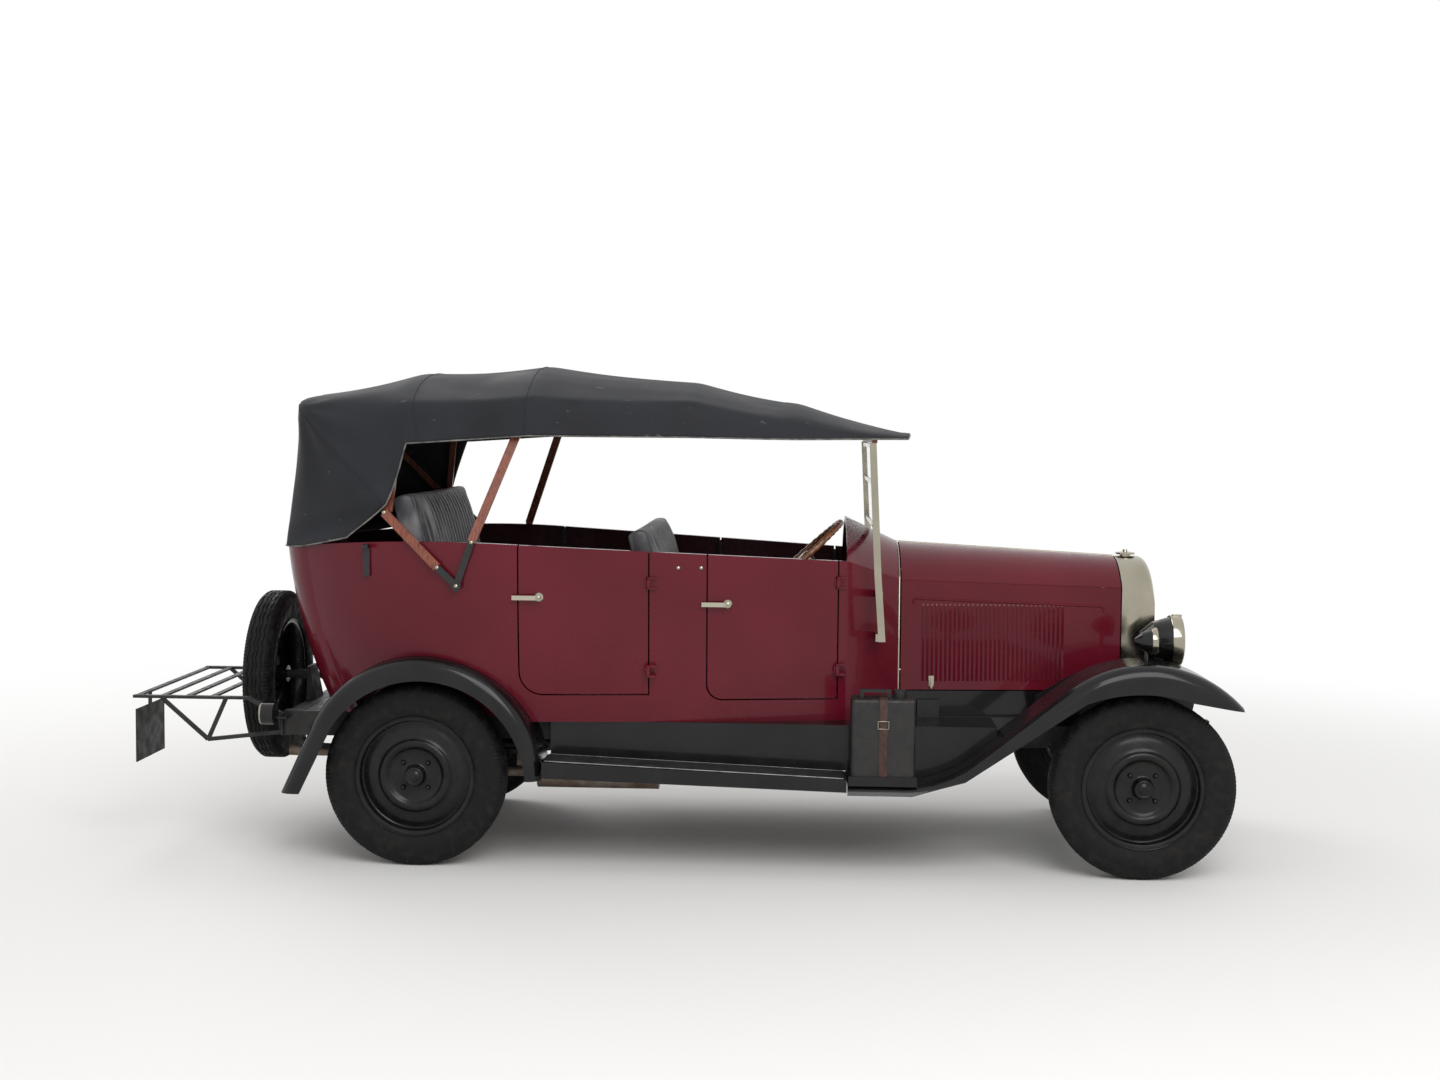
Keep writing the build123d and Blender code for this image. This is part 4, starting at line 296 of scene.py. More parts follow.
hands = {"left": 1, "right": -1}
finish_nodes(maroon_enamel, "scuttle")
finish_nodes(lined_enamel, "body_tub")
# A lever stands 36 mm off its door's skin, and nickel covers it from 16 mm out.
lever_reach, plated_from = 0.036, 0.016
handle_places = {}
for row, handle_x, handle_z in (("front", 0.225, 1.055), ("rear", -0.512, 1.084)):
    handle_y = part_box(f"door_{row}_left")[1].y - lever_reach
    handle_places[row] = (handle_x, handle_y, handle_z)
    lever = (handle_y + plated_from, handle_z)
    door_enamel = coach_paint(f"{row} door enamel with a nickel lever", True, lever)
    finish_nodes(door_enamel, f"door_{row}_left", f"door_{row}_right")
for side in hands:
    finish_nodes(maroon_enamel, f"bonnet_top_{side}", f"bonnet_side_{side}")


# Wings, aprons and frame: pressed steel. The wings are stove-enamelled a glossy black with fine dust,
# and the chassis and axles are brushed with a duller black that holds road film.
def mottled(name, colours, patch_mm, rough, grain_mm, grain_height_mm, **shader):
    """A finish whose colour and roughness drift in patches over a fine grain."""
    material = material_of(name, **shader)
    patches = speckle(material, patch_mm)
    feed(material, "Base Color", between(material, patches, *colours))
    feed(material, "Roughness", between(material, speckle(material, patch_mm * 0.6), *rough))
    raise_bump(material, speckle(material, grain_mm), grain_height_mm)
    return material


black_enamel = mottled(
    "black stove enamel", ("#0b0b0d", "#151518"), 180, (0.16, 0.3), 5, 0.01,
    Specular_IOR_Level=0.2, Coat_Weight=0.25, Coat_Roughness=0.06,
)
frame_black = mottled("chassis black with road film", ("#101011", "#1d1b19"), 70, (0.45, 0.7), 3, 0.06)
finish_nodes(black_enamel, "front_wings", "rear_wings", "side_aprons")
finish_nodes(frame_black, "chassis_frame", "front_axle", "rear_axle", "fuel_tank", "steering_column")
finish_nodes(frame_black, "knuckle_left", "knuckle_right", "luggage_rack")

# Springs, shafts and engine: dark steel and painted cast iron, bolted to the frame, with an oily sheen
# in patches. The exhaust is plain steel pipe, browned by heat.
oily_steel = mottled("oiled steel", ("#1a1918", "#35322e"), 40, (0.35, 0.6), 2, 0.08, Metallic=0.7)
cast_iron = mottled("painted cast iron", ("#202325", "#2f3234"), 50, (0.5, 0.75), 4, 0.3)
pipe_steel = mottled("browned steel", ("#8b8278", "#6a5648"), 90, (0.45, 0.7), 3, 0.08, Metallic=0.8)
finish_nodes(oily_steel, "leaf_springs", "propeller_shaft", "track_rod")
finish_nodes(cast_iron, "engine_block")
finish_nodes(pipe_steel, "exhaust")

# Bright work: brass and steel plated with nickel, warmer to the eye than chrome, with reflections that
# age has clouded in patches.
nickel = mottled("nickel plate", ("#a8a293", "#9d9787"), 140, (0.1, 0.26), 3, 0.01, Metallic=1.0)
finish_nodes(nickel, "radiator_shell", "windscreen_frame", "bonnet_hinge_rod")

# Tyres: moulded black rubber with a zigzag tread and lugs round the shoulder, beaded onto the rims.
# The eye sees a dull black that dust turns grey in patches.
tyre_rows = (
    # across from the tyre's middle and radius in millimetres, share of the lugs' depth
    (49.5, 226, 0), (50.5, 241, 0), (57, 258, 0), (61, 275, 0), (62.3, 293, 0), (61.6, 308, 0),
    (60.4, 311, 0), (60.2, 320, 0), (59.0, 325, 0), (57.6, 333, 0.5), (55.6, 340, 1),
    (52.6, 348, 1), (47, 353.5, 1), (41, 359, 1), (36, 361.5, 0.2), (31, 361.8, 0), (29.5, 357, 0),
    (24.5, 357, 0), (23, 362, 0), (11, 362, 0), (9.5, 357, 0), (4.5, 357, 0), (3, 362, 0),
)
# Each lug and its groove take four steps round the tyre, and the tread's zigzag takes four lugs.
lug_count, lug_depth = 140, 0.0045
zigzag, zigzag_steps, tread_radius = 0.0035, 16, 0.35


def grid_faces(rows, columns, rows_close=True, columns_close=True):
    """Quads between the points of a grid, either direction of which may close on itself."""
    faces = []
    for i in range(rows if rows_close else rows - 1):
        this_row, next_row = i * columns, (i + 1) % rows * columns
        for j in range(columns if columns_close else columns - 1):
            k = (j + 1) % columns
            faces.append((this_row + j, next_row + j, next_row + k, this_row + k))
    return faces


def tyre_mesh():
    """Points and faces of one tyre round the Y axis at the origin."""
    rows = [(a / 1000, r / 1000, lug) for a, r, lug in tyre_rows]
    rows += [(-a / 1000, r / 1000, lug) for a, r, lug in reversed(tyre_rows)]
    steps = 4 * lug_count
    points = []
    for i in range(steps):
        turn = 2 * math.pi * i / steps
        in_groove = i % 4 >= 2
        wave = zigzag * (2 * abs((i % zigzag_steps) / (zigzag_steps / 2) - 1) - 1)
        for across, radius, lug in rows:
            shift = wave if lug == 0 and radius > tread_radius else 0
            r = radius - (lug_depth * lug if in_groove else 0)
            points.append((r * math.sin(turn), across + shift, r * math.cos(turn)))
    return points, grid_faces(steps, len(rows))


def sharpen(piece, degrees=35):
    """Keep the edges that turn by more than this sharp in the shading."""
    mesh = piece.data
    work = bmesh.new()
    work.from_mesh(mesh)
    for edge in work.edges:
        edge.smooth = not edge.is_manifold or edge.calc_face_angle() < math.radians(degrees)
    work.to_mesh(mesh)
    work.free()
    return piece


tyre_rubber = material_of("moulded tyre rubber", Specular_IOR_Level=0.2)
tyre_dust = speckle(tyre_rubber, 35, 4)
feed(tyre_rubber, "Base Color", between(tyre_rubber, tyre_dust, "#101011", "#2b2927", 0.45, 0.8))
feed(tyre_rubber, "Roughness", between(tyre_rubber, tyre_dust, 0.55, 0.85))
raise_bump(tyre_rubber, speckle(tyre_rubber, 2), 0.15)
tyre_points, tyre_faces = tyre_mesh()
# Each wheel's axle runs along Y with its outer face out; the spare's outer face looks to the rear.
wheel_places = {}
for place in ("front", "rear"):
    for side, hand in hands.items():
        low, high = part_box(f"tyre_{place}_{side}")
        turned = Matrix.Rotation(0 if hand > 0 else math.pi, 4, "Z")
        wheel_places[f"{place}_{side}"] = Matrix.Translation((low + high) / 2) @ turned
low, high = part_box("spare_tyre")
wheel_places["spare"] = Matrix.Translation((low + high) / 2) @ Matrix.Rotation(math.pi / 2, 4, "Z")
for place, matrix in wheel_places.items():
    body = "root" if place == "spare" else f"wheel_{place}"
    placed = [matrix @ Vector(p) for p in tyre_points]
    tyre = put(f"{place}_tyre", placed, tyre_faces, tyre_rubber, body)
    sharpen(tyre, 40)
    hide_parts("spare_tyre" if place == "spare" else f"tyre_{place}")

# Wheels: a rolled rim riveted to a dished steel disc, held by four dome nuts round a hub cap, with a
# drum behind each road wheel. Stove-enamelled black like the wings, but duller with dust.
wheel_outline = (
    # across, radius in millimetres, from the outer flange over the disc's face to the cap
    (56, 240), (57.2, 238.6), (56.4, 236.8), (52, 235), (50.5, 228), (48, 222), (40, 219), (18, 217.5),
    (14.5, 213), (15, 206), (20, 194), (24.5, 180), (28, 165), (30.5, 154), (34, 147), (40, 141.5),
    (44.5, 136), (46, 128), (44.8, 120), (40, 113), (34, 107), (30.5, 100), (29, 90), (28.4, 70),
    (28.4, 52), (30, 45), (34, 41.5), (42, 40), (58, 39), (64, 37), (66.5, 34), (67, 29), (65, 25),
    (66, 22), (70, 18), (72, 10), (72, 0),
    # the bore and hub inside the drum, then the back of the disc and the rim's two seats
    (34, 0), (34, 18.3), (-40, 18.3), (-40, 37), (19, 37), (21, 60), (22.5, 98), (26, 108), (33, 116),
    (38, 122), (39.5, 128), (38, 134), (33, 139), (27, 145), (23.5, 153), (21, 165), (17.5, 179),
    (12, 194), (8, 206), (6, 215), (-44, 219), (-50, 223), (-51, 234), (-56.4, 236.8), (-57.2, 238.6),
    (-56, 240), (-50.3, 240), (-50.3, 225.2), (50.3, 225.2), (50.3, 240),
)
drum_outline = (
    (-45, 123), (-43, 125.5), (-38, 125.5), (-36, 123), (14, 123), (17, 120), (17, 39), (9, 39),
    (9, 115), (-45, 115),
)


def turned_on_y(outline, steps=96, closed=True):
    """Points and faces of an outline of (across, radius) in millimetres turned about the Y axis."""
    points = []
    for i in range(steps):
        turn = 2 * math.pi * i / steps
        for across, radius in outline:
            r = radius / 1000
            points.append((r * math.sin(turn), across / 1000, r * math.cos(turn)))
    return points, grid_faces(steps, len(outline), columns_close=closed)


def joined(*parts):
    """One list of points and one of faces from several, each moved by its matrix."""
    points, faces = [], []
    for matrix, (part_points, part_faces) in parts:
        start = len(points)
        points += [matrix @ Vector(p) for p in part_points]
        faces += [tuple(start + i for i in face) for face in part_faces]
    return points, faces


wheel_enamel = mottled(
    "wheel enamel with dust", ("#0b0b0d", "#181716"), 60, (0.22, 0.42), 3, 0.03,
    Specular_IOR_Level=0.2, Coat_Weight=0.15, Coat_Roughness=0.12,
)
nut_outline = ((0, 9.5), (3, 10.5), (5, 9), (11, 8.6), (14, 6), (15, 0.2))
nut_ring, disc_face = 0.070, 0.0284
for place, matrix in wheel_places.items():
    body = "root" if place == "spare" else f"wheel_{place}"
    parts = [(matrix, turned_on_y(wheel_outline))]
    if place != "spare":
        parts.append((matrix, turned_on_y(drum_outline)))
    for i in range(4):
        turned = matrix @ Matrix.Rotation(math.radians(45 + 90 * i), 4, "Y")
        nut_place = turned @ Matrix.Translation((nut_ring, disc_face, 0))
        parts.append((nut_place, turned_on_y(nut_outline, 12, False)))
    wheel = put(f"{place}_wheel", *joined(*parts), wheel_enamel, body)
    sharpen(wheel, 40)
    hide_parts("spare_wheel" if place == "spare" else f"wheel_{place}")

# Hood: one cover of proofed cotton duck, cut in panels and sewn, stretched over four ash bows and
# tacked to the windscreen's header and the body's rear edge.
hood_ribs = (
    # x, y, z in millimetres of five points on each rib, from the roof's middle to the cover's edge
    ((946, 0, 1735), (944, 280, 1733), (941, 460, 1729), (937, 530, 1722), (930, 555, 1711)),
    ((500, 0, 1860), (500, 300, 1844), (500, 490, 1812), (500, 570, 1772), (500, 597, 1711)),
    ((80, 0, 1944), (80, 320, 1922), (80, 530, 1874), (80, 602, 1836), (80, 626, 1716)),
    ((-560, 0, 2009), (-560, 330, 1979), (-560, 550, 1896), (-560, 624, 1842), (-560, 648, 1716)),
    ((-1090, 0, 1974), (-1090, 330, 1945), (-1090, 530, 1875), (-1078, 612, 1818), (-1047, 638, 1682)),
    ((-1522, 0, 1886), (-1522, 250, 1872), (-1520, 482, 1830), (-1330, 578, 1640), (-1125, 636, 1440)),
    ((-1617, 0, 1256), (-1617, 250, 1256), (-1596, 405, 1257), (-1490, 508, 1264), (-1290, 606, 1303)),
)
# Rows of points from one rib to the next; the last two spans are the quarters and the hood's back.
hood_spans = (26, 26, 36, 30, 26, 36)
quarter_span, back_span = 4, 5
hood_across = 44
bow_sag, quarter_hollow, hood_thickness = 0.011, 0.02, 0.003


def through(points, share):
    """A smooth curve through evenly spaced points, read at a share of its length."""
    place = share * (len(points) - 1)
    i = min(int(place), len(points) - 2)
    t = place - i
    p1, p2 = points[i], points[i + 1]
    p0 = points[i - 1] if i > 0 else p1 * 2 - p2
    p3 = points[i + 2] if i + 2 < len(points) else p2 * 2 - p1
    square = (2 * p0 - 5 * p1 + 4 * p2 - p3) * t**2
    cube = (3 * p1 - p0 - 3 * p2 + p3) * t**3
    return 0.5 * (2 * p1 + (p2 - p0) * t + square + cube)


def hood_grid():
    """Rows of points over the whole cover, from its front edge to its foot at the tail."""
    whole = []
    for rib in hood_ribs:
        left = [Vector((x / 1000, y / 1000, z / 1000)) for x, y, z in rib]
        arch = left[::-1] + [Vector((p.x, -p.y, p.z)) for p in left[1:]]
        whole.append([through(arch, v / (2 * hood_across)) for v in range(2 * hood_across + 1)])
    rows = []
    for k, steps in enumerate(hood_spans):
        for s in range(steps + (k == len(hood_spans) - 1)):
            t = s / steps
            row = []
            for v, (a, b) in enumerate(zip(whole[k], whole[k + 1])):
                side = abs(v / hood_across - 1)
                point = a.lerp(b, t)
                swell = math.sin(math.pi * t)
                if k == back_span:
                    point.x += bow_sag * swell * (1 - side**3)
                else:
                    point.z -= bow_sag * swell * (1 - side**3)
                if k == quarter_span:
                    point.y -= math.copysign(quarter_hollow * swell * side**2, point.y)
                row.append(point)
            rows.append(row)
    return rows


def eased(rows, times):
    """Round off the kinks between the spans, with the cover's edges left where they are."""
    for _ in range(times):
        before = rows
        rows = [list(row) for row in before]
        for i in range(1, len(rows) - 1):
            for j in range(1, len(rows[0]) - 1):
                around = before[i - 1][j] + before[i + 1][j] + before[i][j - 1] + before[i][j + 1]
                rows[i][j] = (around + 2 * before[i][j]) / 6
    return rows


# The folds start at the last bow's corner, the quarter's stud and the side opening's corner.
bow_corner = Vector((-1.515, 0.46, 1.822))
quarter_stud = Vector((-1.545, 0.46, 1.290))
opening_corner = Vector((-1.16, 0.63, 1.400))
# Heights, widths and places of the folds, in metres along the cloth and out of it.
slow_height, line_height = 0.005, 0.0022
header_x, header_blend, header_lift = 0.45, 0.2, 0.004
fan_from_x, fan_height, fan_rays, fan_start, fan_end = -1.05, 0.006, 11, 0.12, 0.42
fan_side, fan_blend = 0.38, 0.1
crease_depth, crease_width = 0.014, 0.035
roll_height, roll_off, roll_width = 0.009, 0.06, 0.03


def fold_height(point):
    """How far the cloth stands off its stretched shape."""
    p = Vector((point.x, abs(point.y), point.z))
    # Slow waves, and the close lines of a cloth pulled fore and aft.
    slow = noise.noise(Vector((point.x * 2.4, point.y * 3.1, point.z * 3.0))) * slow_height
    lines = noise.noise(Vector((point.x * 1.6, point.y * 11, point.z * 9))) * line_height
    height = slow + lines
    # Drawn tight over the header, it lies on the wood and never under it.
    if p.x > header_x:
        height = max(height, 0) + header_lift * min(1, (p.x - header_x) / header_blend)
    # Folds fan out below the last bow, and one deep crease with a roll beside it crosses the quarter.
    if p.x < fan_from_x:
        away = p - bow_corner
        angle = math.atan2(away.x, -away.z)
        reach = min(1, away.length / fan_start) * math.exp(-((away.length / fan_end) ** 2))
        aside = min(1, max(0, (p.y - fan_side) / fan_blend))
        height += fan_height * math.sin(angle * fan_rays + 0.8) * reach * aside
        along = opening_corner - quarter_stud
        t = max(0, min(1, (p - quarter_stud).dot(along) / along.length_squared))
        gap = (p - quarter_stud - along * t).length
        crease = crease_depth * math.exp(-((gap / crease_width) ** 2))
        height -= crease * math.sin(math.pi * min(1, t * 1.15 + 0.1))
        height += roll_height * math.exp(-(((gap - roll_off) / roll_width) ** 2)) * (0.3 + 0.7 * t)
    return height


hood_rows = eased(hood_grid(), 5)
hood_across_all = len(hood_rows[0])


def hood_normal(i, j):
    """The direction out of the cover at one of its points."""
    before, after = hood_rows[max(i - 1, 0)][j], hood_rows[min(i + 1, len(hood_rows) - 1)][j]
    left, right = hood_rows[i][max(j - 1, 0)], hood_rows[i][min(j + 1, hood_across_all - 1)]
    normal = (right - left).cross(after - before).normalized()
    outward = Vector((hood_rows[i][j].x * 0.2, hood_rows[i][j].y, hood_rows[i][j].z - 1.3))
    return normal if normal.dot(outward) > 0 else -normal


hood_points = [
    [p + hood_normal(i, j) * fold_height(p) for j, p in enumerate(row)]
    for i, row in enumerate(hood_rows)
]


def bands(material, pitch_mm, direction, wobble=0.0, detail=2.0):
    """Bands pitch_mm apart along one axis; Blender's waves are 2 pi / 20 long at a scale of 1."""
    tree = material.node_tree
    place = add_node(tree, "ShaderNodeTexCoord")
    scale = 2 * math.pi / 20 * 1000 / pitch_mm
    wave = add_node(
        tree, "ShaderNodeTexWave", {0: place.outputs["Object"], 1: scale, 2: wobble, 3: detail},
        bands_direction=direction,
    )
    return wave.outputs[1]


# Duck proofed with rubber: the eye sees a dull charcoal that fades in patches, with pale scuffs.
duck = material_of(
    "proofed cotton duck", Specular_IOR_Level=0.25, Sheen_Weight=0.05, Sheen_Roughness=0.5
)
duck_fade = speckle(duck, 300, 4)
duck_scuff = speckle(duck, 28, 5, (0.35, 1, 1))
duck_tree = duck.node_tree
scuffed = add_node(duck_tree, "ShaderNodeMapRange", {0: duck_scuff, 1: 0.69, 2: 0.77, 3: 0.0, 4: 0.45})
duck_mix = add_node(
    duck_tree,
    "ShaderNodeMix",
    {0: scuffed.outputs[0], 6: between(duck, duck_fade, "#191a1e", "#2a2b30"), 7: linear("#8f8f8c")},
    data_type="RGBA",
)
feed(duck, "Base Color", duck_mix.outputs[2])
feed(duck, "Roughness", between(duck, duck_fade, 0.6, 0.85))
# Threads 0.6 mm apart are too fine for the picture, so the weave is drawn with one rib every 19 mm.
weave_pitch_mm = 18.85
weave = add_node(
    duck_tree,
    "ShaderNodeMath",
    {i: bands(duck, weave_pitch_mm, direction, 0.4, 1) for i, direction in enumerate("XY")},
    operation="MAXIMUM",
)
raise_bump(duck, weave.outputs[0], 0.25, 0.5)

cover_points = [p for row in hood_points for p in row]
cover_faces = grid_faces(len(hood_points), hood_across_all, False, False)
hood_cover = put("hood_cover", cover_points, cover_faces, duck)
hood_shell = hood_cover.modifiers.new("cloth thickness", "SOLIDIFY")
hood_shell.thickness = hood_thickness
hood_shell.offset = -1


# Hem and seams: cotton tape is bound over the cover's edge all round, and a flat-felled seam is sewn
# beside each of the three rear bows. The tape is greyer than the duck and worn in patches.
def wire(name, points, radius, material, closed=False):
    """A round cord or strip of the body along a line of points."""
    curve = bpy.data.curves.new(name, "CURVE")
    curve.dimensions = "3D"
    line = curve.splines.new("POLY")
    line.points.add(len(points) - 1)
    for spot, p in zip(line.points, points):
        spot.co = (*p, 1)
    line.use_cyclic_u = closed
    curve.bevel_depth = radius
    curve.bevel_resolution = 3
    curve.use_fill_caps = True
    curve.materials.append(material)
    piece = bpy.data.objects.new(name, curve)
    scene.collection.objects.link(piece)
    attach(piece, "root")
    return piece


edge_tape = mottled("bound canvas edge", ("#4a4a4c", "#77776f"), 40, (0.7, 0.9), 2, 0.1)
hem_line = hood_points[0] + [row[-1] for row in hood_points]
hem_line += hood_points[-1][::-1] + [row[0] for row in reversed(hood_points)]
hem_radius, seam_radius, seam_rise = 0.0032, 0.0022, 0.0004
hood_hem = wire("hood_hem", hem_line, hem_radius, edge_tape, closed=True)
seam_rows = (sum(hood_spans[:3]) + 1, sum(hood_spans[:4]) - 3, sum(hood_spans[:5]) + 1)
for k, i in enumerate(seam_rows):
    seam_line = [p + hood_normal(i, j) * seam_rise for j, p in enumerate(hood_points[i])]
    wire(f"hood_seam_{k}", seam_line, seam_radius, duck)
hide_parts("hood_canvas")

# Hood frame: steamed ash bows and side sticks, pinned to forged irons that pivot on the body. Varnish
# gives the ash a reddish gloss over its long grain, and enamel gives the irons a satin black.
ash = material_of("varnished ash", Coat_Weight=0.25, Coat_Roughness=0.15)
ash_grain = speckle(ash, 6, 4, (1, 1, 0.08))
feed(ash, "Base Color", between(ash, ash_grain, "#5a2416", "#8a4a33"))
feed(ash, "Roughness", between(ash, ash_grain, 0.35, 0.6))
raise_bump(ash, ash_grain, 0.15)
finish_nodes(ash, "hood_sticks")
iron_black = mottled("forged iron, black enamel", ("#0d0d0e", "#19191a"), 40, (0.3, 0.5), 4, 0.1)
finish_nodes(iron_black, "hood_irons")

# Seats: hide stitched in upright flutes over horsehair and springs, on boards covered in leathercloth of
# a dull black. The hide is dark grey with a fine grain. Its pale patches along the flutes are partly
# wear and partly painted highlight.
leather = material_of("fluted leather", Sheen_Weight=0.1)
leather_wear_and_highlight = speckle(leather, 90, 5, (1, 1, 0.4))
# The pale end of this colour is rubbed hide, brightened further as painted highlight on the flutes.
feed(leather, "Base Color", between(leather, leather_wear_and_highlight, "#35353a", "#8f8c8b", 0.44, 0.74))
feed(leather, "Roughness", between(leather, leather_wear_and_highlight, 0.42, 0.62))
hide_grain_mm = 4
leather_place = add_node(leather.node_tree, "ShaderNodeTexCoord")
hide_grain = add_node(
    leather.node_tree,
    "ShaderNodeTexVoronoi",
    {0: leather_place.outputs["Object"], 2: 1000 / hide_grain_mm},
)
raise_bump(leather, hide_grain.outputs[0], 0.25, 0.6)
flute_pitch, flute_depth, pad_round, pad_crown = 0.056, 0.011, 0.012, 0.03


def pad(width, length, thickness):
    """A fluted cushion: X across the car, Y along the flutes, Z its crowned face."""
    flutes = round(width / flute_pitch)
    across, along, deep = flutes * 6, 16, 5
    points, index, faces = [], {}, []

    def corner(i, j, k):
        if (i, j, k) not in index:
            a, b, c = 2 * i / across - 1, 2 * j / along - 1, k / deep
            pinch = 0.985 - 0.035 * abs(b) ** 3 * (1 - abs(a) ** 4)
            x = a * width / 2
            y = b * length / 2 * (0.97 + 0.03 * (1 - abs(a) ** 6)) * pinch / 0.985
            edge = (1 - abs(a) ** 10) * (1 - abs(b) ** 5)
            z = c * (thickness - pad_crown) + c * pad_crown * edge
            ridge = abs(math.cos(math.pi * flutes * (a + 1) / 2)) ** 0.6
            z -= flute_depth * c**3 * (1 - ridge) * (1 - abs(b) ** 14)
            roundness = math.sin(math.pi * c) * pad_round
            x += math.copysign(roundness, a) * abs(a) ** 12
            y += math.copysign(roundness, b) * abs(b) ** 12
            index[i, j, k] = len(points)
            points.append((x, y, z))
        return index[i, j, k]

    def sheet_of(cells_u, cells_v, spot):
        for u in range(cells_u):
            for v in range(cells_v):
                faces.append((spot(u, v), spot(u + 1, v), spot(u + 1, v + 1), spot(u, v + 1)))

    sheet_of(across, along, lambda u, v: corner(u, v, deep))
    sheet_of(across, along, lambda u, v: corner(u, v, 0))
    for end in (0, across):
        sheet_of(along, deep, lambda u, v, end=end: corner(end, u, v))
    for end in (0, along):
        sheet_of(across, deep, lambda u, v, end=end: corner(u, end, v))
    return points, faces


def pad_piece(name, matrix, width, length, thickness, node):
    """One stuffed cushion in the place of a seat's own solid."""
    points, faces = pad(width, length, thickness)
    piece = put(name, [matrix @ Vector(p) for p in points], faces, leather)
    soft = piece.modifiers.new("stuffing", "SUBSURF")
    soft.levels = soft.render_levels = 1
    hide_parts(node)


forward, leftward, upward = Matrix.Identity(3)


def box_mesh(low, high, round_mm=3):
    """Points and faces of a box with rounded edges."""
    work = bmesh.new()
    bmesh.ops.create_cube(work, size=1)
    middle = (Vector(low) + Vector(high)) / 2
    span = Vector(high) - Vector(low)
    for v in work.verts:
        v.co = Vector((v.co.x * span.x, v.co.y * span.y, v.co.z * span.z)) + middle
    reach = min(round_mm / 1000, 0.45 * min(span))
    bmesh.ops.bevel(work, geom=work.edges[:], offset=reach, segments=2, profile=0.6, affect="EDGES")
    points = [v.co.copy() for v in work.verts]
    faces = [tuple(v.index for v in face.verts) for face in work.faces]
    work.free()
    return points, faces


here = Matrix.Identity(4)
cushion_thick, back_thick, plinth_foot, plinth_in = 0.146, 0.11, 0.602, 0.01
pad_sunk, back_foot, board_thick = 0.002, 0.012, 0.10
seat_sizes = (
    # node, cushion's front x, back x, half width, top z, back's top z, lean, half width of the back
    ("front_seat", 0.395, 0.030, 0.470, 0.900, 1.346, 0.120, 0.512),
    ("rear_seat", -0.480, -0.880, 0.470, 0.900, 1.485, 0.150, 0.562),
)
seat_board = mottled("black leathercloth", ("#161618", "#232326"), 25, (0.5, 0.7), 2, 0.1)
for node, seat_front, seat_back, half, seat_top, back_top, lean, back_half in seat_sizes:
    middle = Vector(((seat_front + seat_back) / 2, 0, seat_top - cushion_thick - pad_sunk))
    cushion_at = facing(leftward, -forward, upward, middle)
    depth = seat_front - seat_back - 0.01
    pad_piece(f"{node}_cushion", cushion_at, 2 * half, depth, cushion_thick, node)
    rise = Vector((-lean, 0, back_top - seat_top + 0.01))
    outward = Vector((rise.z, 0, lean)).normalized()
    foot = Vector((seat_back + back_foot, 0, seat_top + back_foot))
    middle = foot + rise * 0.49 - outward * (back_thick + pad_sunk)
    back_at = facing(leftward, rise.normalized(), outward, middle)
    pad_piece(f"{node}_back", back_at, 2 * back_half, rise.length * 0.96, back_thick, node)
    boards = (
        # back x, front x and top z of the box under the cushion, and of the board behind the back
        (seat_back + plinth_in, seat_front - plinth_in, seat_top - cushion_thick - 0.006),
        (seat_back - board_thick, seat_back + 0.004, seat_top - plinth_in),
    )
    plinth = [
        (here, box_mesh((x_low, plinth_in - half, plinth_foot), (x_high, half - plinth_in, top), 8))
        for x_low, x_high, top in boards
    ]
    plinth_piece = sharpen(put(f"{node}_plinth", *joined(*plinth), seat_board))
    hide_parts(node)

# Lamps: steel bowls japanned a deep glossy black, with spun brass rims plated with nickel, and silvered
# reflectors as bright as mirrors. Each clear glass is pressed with upright flutes, and a clip at the
# top holds its rim. The flutes are drawn broader than the real ones, so that they show.
japan_black = mottled(
    "black japan", ("#0b0b0c", "#141415"), 60, (0.14, 0.28), 4, 0.01,
    Specular_IOR_Level=0.25, Coat_Weight=0.3, Coat_Roughness=0.08,
)
finish_nodes(japan_black, "lamps")
silvered = mottled(
    "silvered reflector", ("#dcdcd8", "#e8e8e4"), 50, (0.04, 0.1), 3, 0.005, Metallic=1.0
)
lamp_glass = material_of("fluted lamp glass", Transmission_Weight=1.0, Roughness=0.04, IOR=1.5)
glass_flute_mm = 56.55
raise_bump(lamp_glass, bands(lamp_glass, glass_flute_mm, "Y"), 0.8, 0.7)
finish_nodes(lamp_glass, "lamp_lenses")
# Outlines of a head lamp's parts, as across and radius in millimetres; the side lamps' are scaled.
rim_outline = (
    (-38, 100.5), (-36, 102.6), (2, 103), (7, 101.4), (9, 97.5), (8.6, 93), (6.6, 92), (5.9, 99.6),
    (0, 100.5),
)
reflector_outline = ((-2, 94), (-30, 87), (-60, 72), (-86, 48), (-98, 28), (-104, 9))
bulb_outline = ((-104, 9), (-82, 8), (-72, 12), (-60, 11), (-53, 5), (-51, 0.2))
clip_box = box_mesh((-0.012, -0.026, 0.099), (0.012, 0.011, 0.107), 2)
lamp_places = (
    # x, distance from the middle, z, radius over 100 mm
    (2.042, 0.362, 0.912, 1.0),
    (1.905, 0.600, 0.936, 0.49),
)
lamp_rims, reflectors = [], []
for lamp_x, lamp_y, lamp_z, share in lamp_places:
    for hand in hands.values():
        lamp_middle = (lamp_x, hand * lamp_y, lamp_z)
        ahead = facing(-leftward, forward, upward, lamp_middle) @ Matrix.Scale(share, 4)
        lamp_rims += [(ahead, turned_on_y(rim_outline, 64)), (ahead, clip_box)]
        for outline, steps in ((reflector_outline, 48), (bulb_outline, 16)):
            reflectors.append((ahead, turned_on_y(outline, steps, False)))
sharpen(put("lamp_rims", *joined(*lamp_rims), nickel))
put("lamp_reflectors", *joined(*reflectors), silvered)

